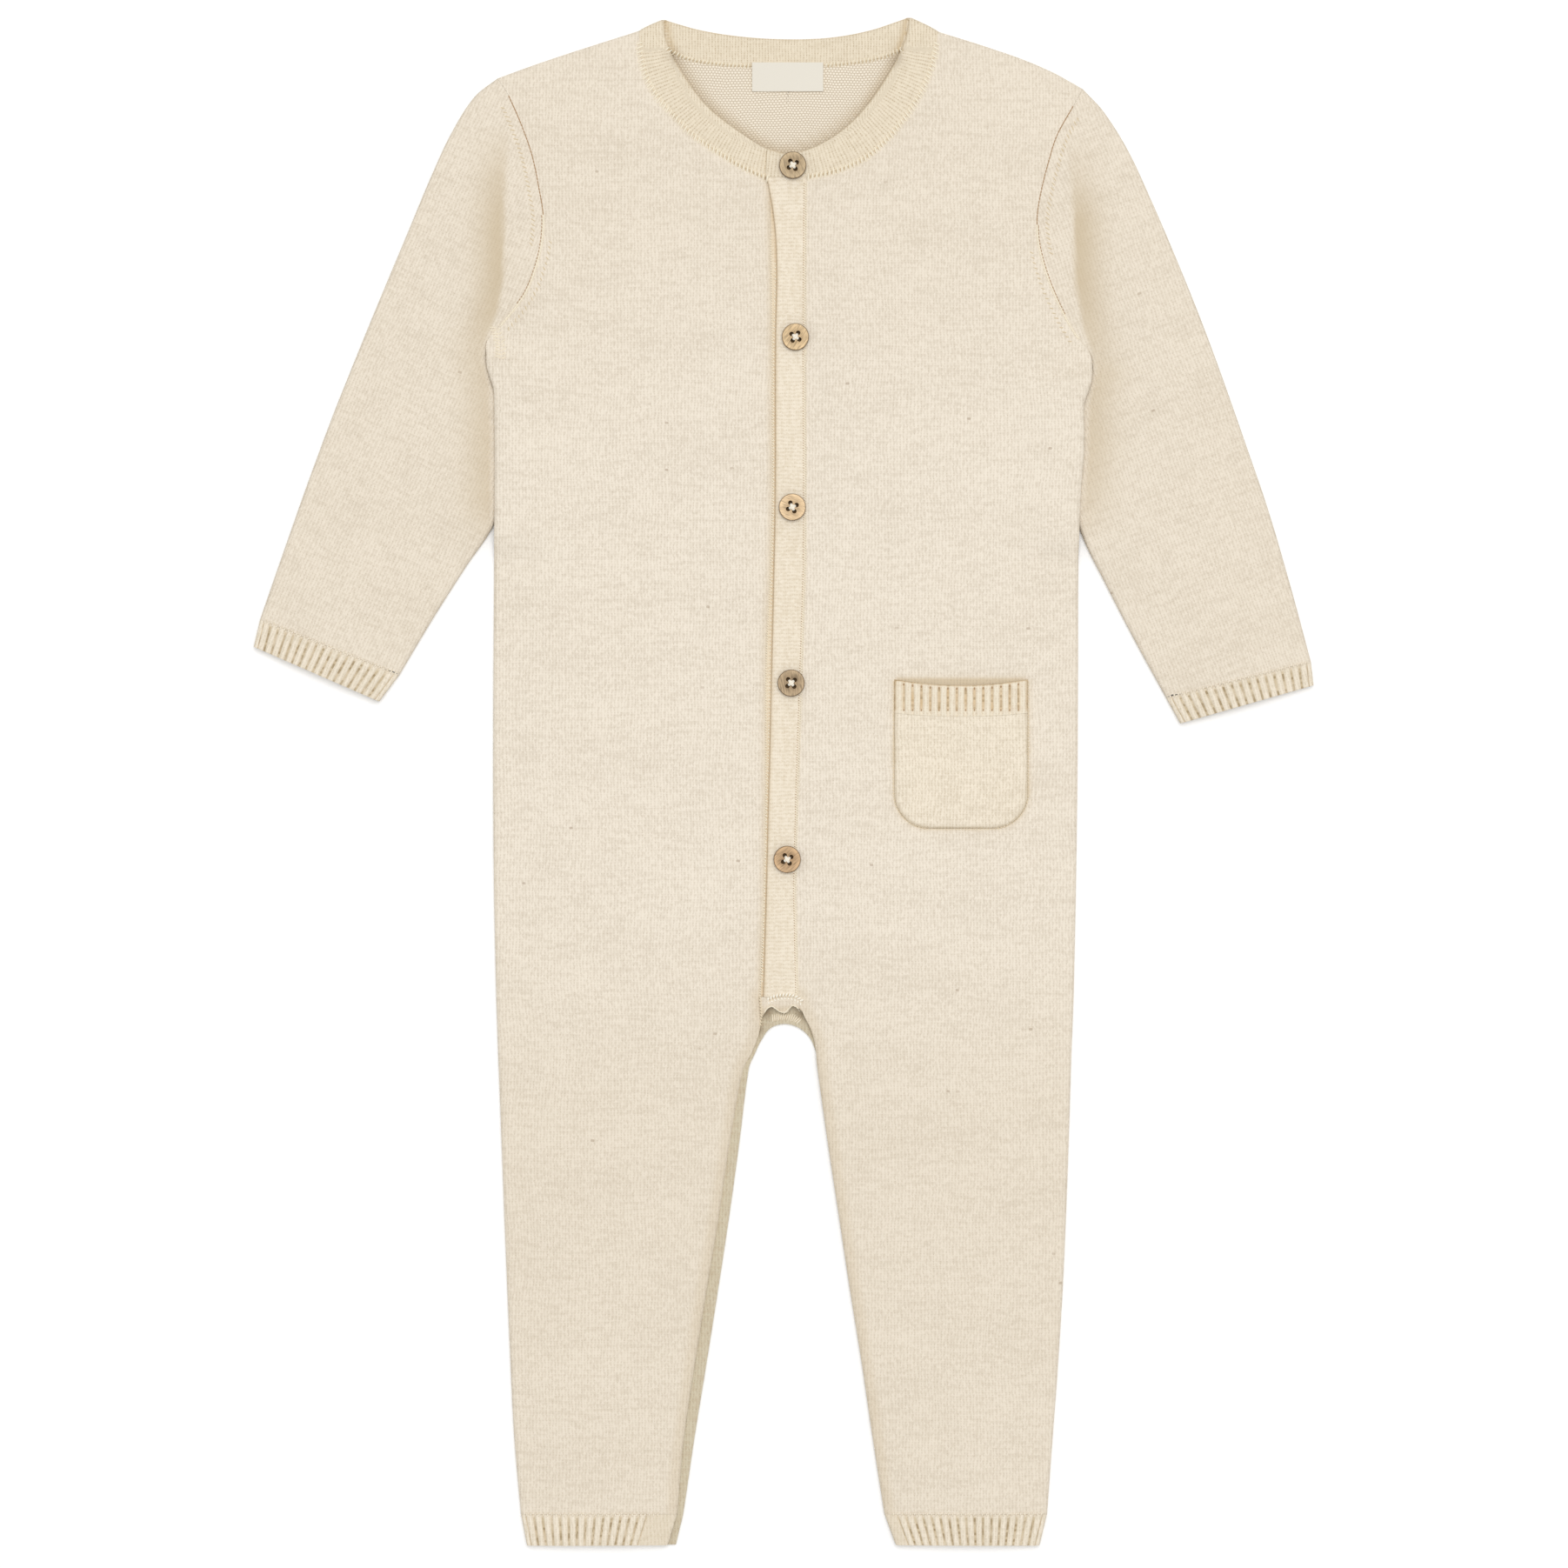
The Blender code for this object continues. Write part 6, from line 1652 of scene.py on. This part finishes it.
def build_neckband():
    """One band: the under end at the opening, up the wearer's right, over the shoulder, round the back, over
    the other shoulder and down to the end that lies on top."""
    back_opening = smooth_line(NECK_BACK, 2 * ROWS["shoulder"] + 1)
    back_halves = [rail([(BACK_INNER[side]["neck"], ROWS["shoulder"])]) for side in ("right", "left")]
    back_seam = np.vstack([back_halves[0][::-1], back_halves[1][1:]])
    halves = {}
    for side, level in (("right", under_level), ("left", over_level)):
        front = NECK_FRONT[side]
        seam = rail([(front["end"], 3), (FRONT_INNER[side]["shoulder"], ROWS["shoulder"])])
        opening = smooth_line(front["opening"], len(seam))
        rows = [neck_section(neck_pair(a, float(level(*a))), neck_pair(b, float(level(*b))))
                for a, b in zip(opening[:-1], seam[:-1])]
        order = -1 if side == "right" else 1
        fold = neck_fold(opening, seam, back_opening[::order], back_seam[::order])
        halves[side] = (rows, fold)
    back = [neck_section(neck_pair(a, BAND, -1), neck_pair(b, BAND, -1))
            for a, b in zip(back_opening[1:-1], back_seam[1:-1])]
    sections = halves["right"][0] + halves["right"][1] + back
    sections = np.array(sections + halves["left"][1][::-1] + halves["left"][0][::-1])
    cell = CLOTH_PIECES["neckband"]["cell"]
    grid = subdivided(subdivided(sections, 0, cell), 1, cell, closed=True)
    rows, columns = grid.shape[:2]
    corner = corner_numbers(rows, columns, closed=True)
    ends = []
    for row, order in ((corner[0, :-1], 1), (corner[-1, :-1], -1)):
        for k in range(1, columns // 2):
            ends.append([row[k - 1], row[k], row[-k - 1], row[-k]][::order])
    faces = np.vstack([quads(corner[:-1], corner[1:]), ends])
    make_piece("neckband", grid.reshape(-1, 3), faces, np.zeros(rows * columns))


build_back()
build_front("right", under_level)
build_front("left", over_level)
for wearer_side in SIDE:
    build_sleeve(wearer_side)
    build_sleeve_cuff(wearer_side)
    build_leg_cuff(wearer_side)
build_placket()
build_crotch_tab()
build_inseam_band()
build_neckband()
build_pocket()
build_label()

# ---------------------------------------------------------------- sewing and buttons


def top_of_cloth():
    """A function that gives the height of the topmost cloth at a place, in mm."""
    points, faces = [], []
    for obj in bpy.context.scene.objects:
        if obj.name.startswith("cloth_"):
            place = np.zeros(len(obj.data.vertices) * 3)
            obj.data.vertices.foreach_get("co", place)
            corners = np.zeros(len(obj.data.loops), int)
            obj.data.loops.foreach_get("vertex_index", corners)
            faces += (corners.reshape(-1, 4) + len(points)).tolist()
            points += (place.reshape(-1, 3) / MM).tolist()
    tree = BVHTree.FromPolygons(points, faces)

    def top(x, y):
        """The height of the first cloth that is met from above, at the place or just beside it."""
        heights = [0.0]
        for side_x, side_y in ((0, 0), (0.2, 0), (-0.2, 0), (0, 0.2), (0, -0.2)):
            hit = tree.ray_cast(Vector((x + side_x, y + side_y, LOOK_DOWN_FROM)), Vector((0, 0, -1)))[0]
            if hit:
                heights.append(hit.z)
        return max(heights)

    return top


cloth_top = top_of_cloth()


def tube(path, radius, sides=6):
    """Points, faces and grain of a round thread along a path that stays in one upright plane."""
    path = np.array(path, float)
    run = path[-1] - path[0]
    side = unit(np.array([-run[1], run[0], 0.0]))
    tangent = np.gradient(path, axis=0)
    tangent /= np.linalg.norm(tangent, axis=1)[:, None]
    up = np.cross(tangent, side)
    turn = np.arange(sides) * 2 * math.pi / sides
    ring = side * np.cos(turn)[:, None] + up[:, None, :] * np.sin(turn)[None, :, None]
    slim = np.full(len(path), radius)
    slim[[0, -1]] *= THREAD_END
    points = path[:, None, :] + ring * slim[:, None, None]
    corner = corner_numbers(len(path), sides, closed=True)
    faces = quads(corner[:-1], corner[1:]).tolist()
    faces += [corner[0, -2::-1].tolist(), corner[-1, :-1].tolist()]
    grain = np.column_stack([np.repeat(chord_shares(path) * np.linalg.norm(run), sides),
                             np.tile(turn, len(path))])
    return points.reshape(-1, 3), faces, grain


def thread_piece(name, tubes, look):
    """All threads of one kind in one mesh."""
    points, faces, grain, first = [], [], [], 0
    for tube_points, tube_faces, tube_grain in tubes:
        faces += [[corner + first for corner in face] for face in tube_faces]
        points.append(tube_points)
        grain.append(tube_grain)
        first += len(tube_points)
    obj = new_mesh(name, np.vstack(points), faces, LOOKS[look])
    set_vector(obj.data, "grain", *np.vstack(grain).T, 0.0)


def stitch(start, end, radius, lift):
    """A thread that comes out of the cloth at start and goes back in at end, or none off the cloth."""
    path = []
    for t in np.linspace(0, 1, STITCH_POINTS):
        x, y = np.array(start) + (np.array(end) - np.array(start)) * t
        if cloth_top(x, y) < radius:
            return []
        path.append((x, y, cloth_top(x, y) + lift * math.sin(math.pi * t) - THREAD_IN_CLOTH * radius))
    return [tube(path, radius)]


def stitch_row(line, kind, sign=1):
    """The stitches of a named row along a line, with -1 as the sign to swap its sides. Each stitch runs from
    one side to the other, over the reach, and slants along the line."""
    pitch, reach, slant, radius, lift, seed = STITCHES[kind]
    rng = np.random.default_rng(seed)
    line = np.array(line, float)
    length = np.linalg.norm(np.diff(line, axis=0), axis=1).sum()
    count = round(length / pitch)
    spots = line_at(line, (np.arange(count) + 0.5) / count)
    ahead = line_at(line, np.minimum((np.arange(count) + 0.6) / count, 1))
    row = []
    for spot, next_spot in zip(spots, ahead):
        along = unit(next_spot - spot)
        out = sign * np.array([-along[1], along[0]])
        low, high = np.array(reach) * rng.uniform(0.85, 1.12)
        lean = along * slant / 2 * rng.uniform(0.8, 1.2)
        row += stitch(spot + out * low - lean, spot + out * high + lean, radius, lift)
    return row


def sew_neck():
    """The neckband's seam on the front and on the inside of the back, with dark thread that paints the shade
    in the gaps between its loops.
    """
    loops, gaps = [], []
    for side, sign in (("right", -1), ("left", 1)):
        line = smooth_line(FRONT_INNER[side]["shoulder"], 80)[:-4]
        loops += stitch_row(line, "neck_front", sign)
        gaps += stitch_row(line_at(line, np.linspace(0.011, 0.999, 80)), "neck_gaps", sign)
    thread_piece("sewing_neck_front", loops, "cream_thread")
    thread_piece("sewing_neck_gap_shade", gaps, "shaded_gap")
    back = np.vstack([smooth_line(BACK_INNER["right"]["neck"], 60)[::-1],
                      smooth_line(BACK_INNER["left"]["neck"], 60)[1:]])
    back = back[(back[:, 0] > BACK_NECK_SHOWN[0]) & (back[:, 0] < BACK_NECK_SHOWN[1])]
    loops, gaps = [], []
    for half in (back[back[:, 0] < LABEL["left"] - 0.5], back[back[:, 0] > LABEL["right"] + 0.5]):
        loops += stitch_row(half, "neck_back")
        gaps += stitch_row(half + [0.8, 0], "neck_back_gaps")
    thread_piece("sewing_neck_back", loops, "cream_thread")
    thread_piece("sewing_neck_back_gap_shade", gaps, "shaded_gap")


def sew_placket():
    """The top placket's seam, dark dots of painted shade beside it, its free edge, and the under placket's
    seam.
    """
    seam = line_at(placket_rail("left", 0.0), np.linspace(0.004, 0.994, 120))
    thread_piece("sewing_placket_seam", stitch_row(seam, "placket_seam"), "cream_thread")
    thread_piece("sewing_placket_shade_dots", stitch_row(seam - [0.9, 0], "placket_dots"), "shaded_seam")
    edge = smooth_line(PLACKET_FREE_EDGE, 60)[1:-6] - [0.65, 0]
    thread_piece("sewing_placket_edge", stitch_row(edge, "placket_edge"), "cream_thread")
    under = placket_rail("right", 0.0)[:-2]
    thread_piece("sewing_placket_under", stitch_row(under, "placket_under"), "pale_thread")


def sew_armholes():
    """The armholes' seams with the marks of the shaping to both sides, and the gusset under the right arm."""
    high, low, marks = [], [], []
    for side, sign in (("right", -1), ("left", 1)):
        seam = smooth_line(SIDE[side]["yoke"] + SIDE[side]["shoulder"][1:4], 80)[6:]
        out = square_to(seam, sign)
        low += stitch_row(seam[:37], "armhole_low")
        # Dark thread that paints the shade in the upper seam's line, and a row of painted shade beside it
        high += stitch_row(seam[36:], "armhole")
        high += stitch_row((seam + out * 0.65)[8:37], "armhole_shade")
        marks += stitch_row((seam + out * 4.4)[26:72], "fashioned_sleeve")
        marks += stitch_row((seam - out * 3.6)[:30], "fashioned_trunk")
    thread_piece("sewing_armholes", high, "shaded_seam")
    thread_piece("sewing_armholes_low", low, "cream_thread")
    gusset = smooth_line(GUSSET, 12)
    rows = stitch_row(gusset, "gusset") + stitch_row(gusset + [2.6, -0.6], "gusset_side")
    thread_piece("sewing_gusset", rows, "cream_thread")
    thread_piece("sewing_fashioning", marks, "pale_tan_thread")


def sew_pocket():
    """The pocket's sewn edge."""
    outline = line_at(pocket_outline(), np.linspace(0, 1, 200))
    centre = np.array([(POCKET["left"] + POCKET["right"]) / 2, POCKET["seam"] - POCKET["corner"]])
    out = square_to(outline, 1)
    out *= np.sign(np.sum(out * (outline - centre), axis=1))[:, None]
    thread_piece("sewing_pocket", stitch_row(outline + 0.3 * out, "pocket"), "light_tan_thread")


def sew_crotch():
    """The placket's foot, the seams in the gap under its tab and beside it, and the tab's lower edge."""
    seam = smooth_line(CROTCH_SEAM, 30)
    rows = stitch_row(seam, "crotch") + stitch_row(seam - [0, 1.2], "crotch_low")
    thread_piece("sewing_crotch", rows, "white_thread")
    # Dark thread that paints the shade in the gaps between the seam's loops
    thread_piece("sewing_crotch_gap_shade", stitch_row(seam + [0.6, 0.2], "crotch_gaps"), "shaded_gap")
    inside = smooth_line(CROTCH_INSIDE, 30)
    thread_piece("sewing_crotch_inside", stitch_row(inside, "crotch_inside"), "pale_thread")
    edge = front_inner_rail("right")
    heights = np.linspace(*CROTCH_SIDE, 14)
    side = np.column_stack([np.interp(heights, edge[:, 1], edge[:, 0]), heights])
    thread_piece("sewing_crotch_side", stitch_row(side, "crotch_side"), "light_tan_thread")
    rim = smooth_line([(x, y) for x, y, _ in CROTCH_TAB], 60)[8:]
    thread_piece("sewing_crotch_edge", stitch_row(rim + [0, 0.35], "crotch_edge"), "cream_thread")


def sew_ribs():
    """The seams where the cuffs' ribs start, and a dark dot of painted shade at both ends of each of the
    pocket's ribs.
    """
    seams, dots = [], []
    for node in CLOTH_PIECES:
        if node.startswith("cuff"):
            start, end = np.array(rib_start(node), float)
            along = unit(end - start)
            inset = 0.8 + (0.6 * LEG_RIB_END[node.split("_")[-1]] if "leg" in node else 0)
            seams += stitch_row(np.linspace(start + along * 1.5, end - along * inset, 40), "cuffs")
    thread_piece("sewing_cuffs", seams, "rib")
    p = POCKET
    count, pitch = pocket_ribs()
    for k in range(count + 1):
        x = p["left"] + p["margin"] + k * pitch
        top, low = (pocket_point(x, y)[:2] for y in (p["top"] - 1.0, p["top"] - 1.9))
        dots += stitch(top, low, 0.3, 0.2)
        dots += stitch((x, p["seam"] + 1.7), (x, p["seam"] + 0.9), 0.24, 0.15)
    thread_piece("sewing_pocket_shade_dots", dots, "shaded_seam")


def sew_buttonholes():
    """The buttonholes' ends that show beside the two upper buttons."""
    ends = []
    for node in ("button_1", "button_2"):
        start, end = (np.array(button_middle(node)) + away for away in BUTTONHOLE_END)
        ends += stitch(start, end, 0.24, 0.2)
    thread_piece("sewing_buttonholes", ends, "cream_thread")


def circle(radius, count, centre=(0.0, 0.0)):
    """Points on a circle."""
    turn = np.arange(count) * 2 * math.pi / count
    return np.column_stack([centre[0] + radius * np.cos(turn), centre[1] + radius * np.sin(turn)])


def build_button(node, turn, wood, grain):
    """A flat wooden disc with a soft burnt rim and four holes. Returns the crossed thread that holds it."""
    low, high = (np.array(corner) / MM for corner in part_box(node))
    middle = (low + high)[:2] / 2
    radius, thick = (high - low)[0] / 2, (high - low)[2]
    base = cloth_top(*middle) + BUTTON_GAP
    turns = [math.radians(turn + 45) + k * math.pi / 2 for k in range(4)]
    headings = [np.array([math.cos(heading), math.sin(heading)]) for heading in turns]
    holes = [circle(HOLE_RADIUS, HOLE_CORNERS, HOLE_REACH * heading) for heading in headings]
    bm = bmesh.new()
    burn_and_shade = {}

    def loop(points, z, burnt):
        """A closed loop of corners at a height."""
        corners = [bm.verts.new((*point, z)) for point in points]
        burn_and_shade.update({corner: burnt for corner in corners})
        return corners

    def join(a, b):
        """Faces between two equal loops."""
        for k in range(len(a)):
            bm.faces.new((a[k - 1], a[k], b[k], b[k - 1]))

    def fill(loops):
        """A flat face with holes."""
        edges = [bm.edges.get((ring[k - 1], ring[k])) or bm.edges.new((ring[k - 1], ring[k]))
                 for ring in loops for k in range(len(ring))]
        bmesh.ops.triangle_fill(bm, use_beauty=True, edges=edges)

    rim = [loop(circle(radius * share, BUTTON_CORNERS), thick * height, burnt)
           for share, height, burnt in BUTTON_RIM]
    for a, b in zip(rim[:-1], rim[1:]):
        join(a, b)
    tops, bottoms = [], []
    # The holes' walls take burnt values above 1 from HOLE_WALL, which are painted black shade
    for hole in holes:
        centre = hole.mean(axis=0)
        wall = [loop(centre + (hole - centre) * share, thick * height, burnt)
                for share, height, burnt in HOLE_WALL]
        for a, b in zip(wall[:-1], wall[1:]):
            join(a, b)
        tops.append(wall[0])
        bottoms.append(wall[-1])
    fill([rim[0], *tops])
    fill([rim[-1], *bottoms])
    bm.verts.index_update()
    points = np.array([corner.co[:] for corner in bm.verts])
    burnt = np.array([burn_and_shade[corner] for corner in bm.verts])
    faces = [[corner.index for corner in face.verts] for face in bm.faces]
    bm.free()
    across, along = turned(points[:, 0], points[:, 1], grain)
    obj = new_mesh(f"wood_{node}", points + [*middle, base], faces, wood_look(f"wood_{node}", wood))
    set_vector(obj.data, "grain", across + WOOD_SHIFT * turn, along, 0.0)
    # How burnt each corner is, with the painted black shade on the holes' walls
    set_vector(obj.data, "tone", burnt, 0.0, 0.0)
    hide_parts(node)

    threads = []
    for layer, along in enumerate(headings[:2]):
        side = np.array([-along[1], along[0]])
        for strand in (-1, 0, 1):
            path = []
            for reach, height in THREAD_PATH:
                spread = THREAD_SPREAD * (1.25 - abs(reach) / 2.2)
                z = base + thick + height + THREAD_LAYER * layer - THREAD_SINK * abs(strand)
                path.append((*(middle + along * reach + side * strand * spread), z))
            threads.append(tube(path, THREAD_RADIUS, 8))
    return threads


def build_buttons():
    """The five buttons and the thread through them."""
    threads = []
    for node, look in BUTTONS.items():
        threads += build_button(node, **look)
    thread_piece("button_thread", threads, "button_thread")


sew_neck()
sew_placket()
sew_armholes()
sew_pocket()
sew_crotch()
sew_ribs()
sew_buttonholes()
build_buttons()

# ---------------------------------------------------------------- floor, light, camera

FRAME_WIDTH = 667.11  # width of the picture at the garment
CAMERA_HEIGHT = 2600.0
GARMENT_HEIGHT = 3.0
CAMERA_AT = (0.55, -1.48)
SENSOR = 36

# Floor and light, in metres and watts
FLOOR_REACH = 4.0
FLOOR_HEIGHT = -0.0002
WORLD_STRENGTH = 0.62
KEY_PLACE = (0.4, 1.2, 6.2)
KEY_SIZE = 4.0
KEY_POWER = 229


def add_floor():
    """A plain pale floor."""
    mesh = bpy.data.meshes.new("floor")
    signs = ((-1, -1), (1, -1), (1, 1), (-1, 1))
    corners = [(FLOOR_REACH * x, FLOOR_REACH * y, FLOOR_HEIGHT) for x, y in signs]
    mesh.from_pydata(corners, [], [(0, 1, 2, 3)])
    s = Shader("floor_paper", roughness=0.9, specular=0.1)
    s.principled.inputs["Base Color"].default_value = (0.97, 0.97, 0.97, 1)
    mesh.materials.append(s.material)
    floor = bpy.data.objects.new("floor", mesh)
    bpy.context.scene.collection.objects.link(floor)


def add_light(name, place, size, power):
    """A soft square light aimed at the middle of the garment."""
    data = bpy.data.lights.new(name, "AREA")
    data.shape = "SQUARE"
    data.size = size
    data.energy = power
    light = bpy.data.objects.new(name, data)
    light.location = place
    light.rotation_mode = "QUATERNION"
    light.rotation_quaternion = (-light.location).to_track_quat("-Z", "Y")
    bpy.context.scene.collection.objects.link(light)


def add_studio():
    """Even light from all round, with a little more from above the neck."""
    world = bpy.data.worlds.new("studio")
    world.use_nodes = True
    world.node_tree.nodes["Background"].inputs["Color"].default_value = (1, 1, 1, 1)
    world.node_tree.nodes["Background"].inputs["Strength"].default_value = WORLD_STRENGTH
    bpy.context.scene.world = world
    add_light("key", KEY_PLACE, KEY_SIZE, KEY_POWER)
    bpy.context.scene.view_settings.view_transform = "Standard"


def add_camera():
    """The camera looks straight down, with the neck up."""
    data = bpy.data.cameras.new("camera")
    data.sensor_width = SENSOR
    data.lens = SENSOR * (CAMERA_HEIGHT - GARMENT_HEIGHT) / FRAME_WIDTH
    data.clip_start, data.clip_end = 0.1, 20
    camera = bpy.data.objects.new("camera", data)
    camera.location = (CAMERA_AT[0] * MM, CAMERA_AT[1] * MM, CAMERA_HEIGHT * MM)
    bpy.context.scene.collection.objects.link(camera)
    bpy.context.scene.camera = camera


add_floor()
add_studio()
add_camera()
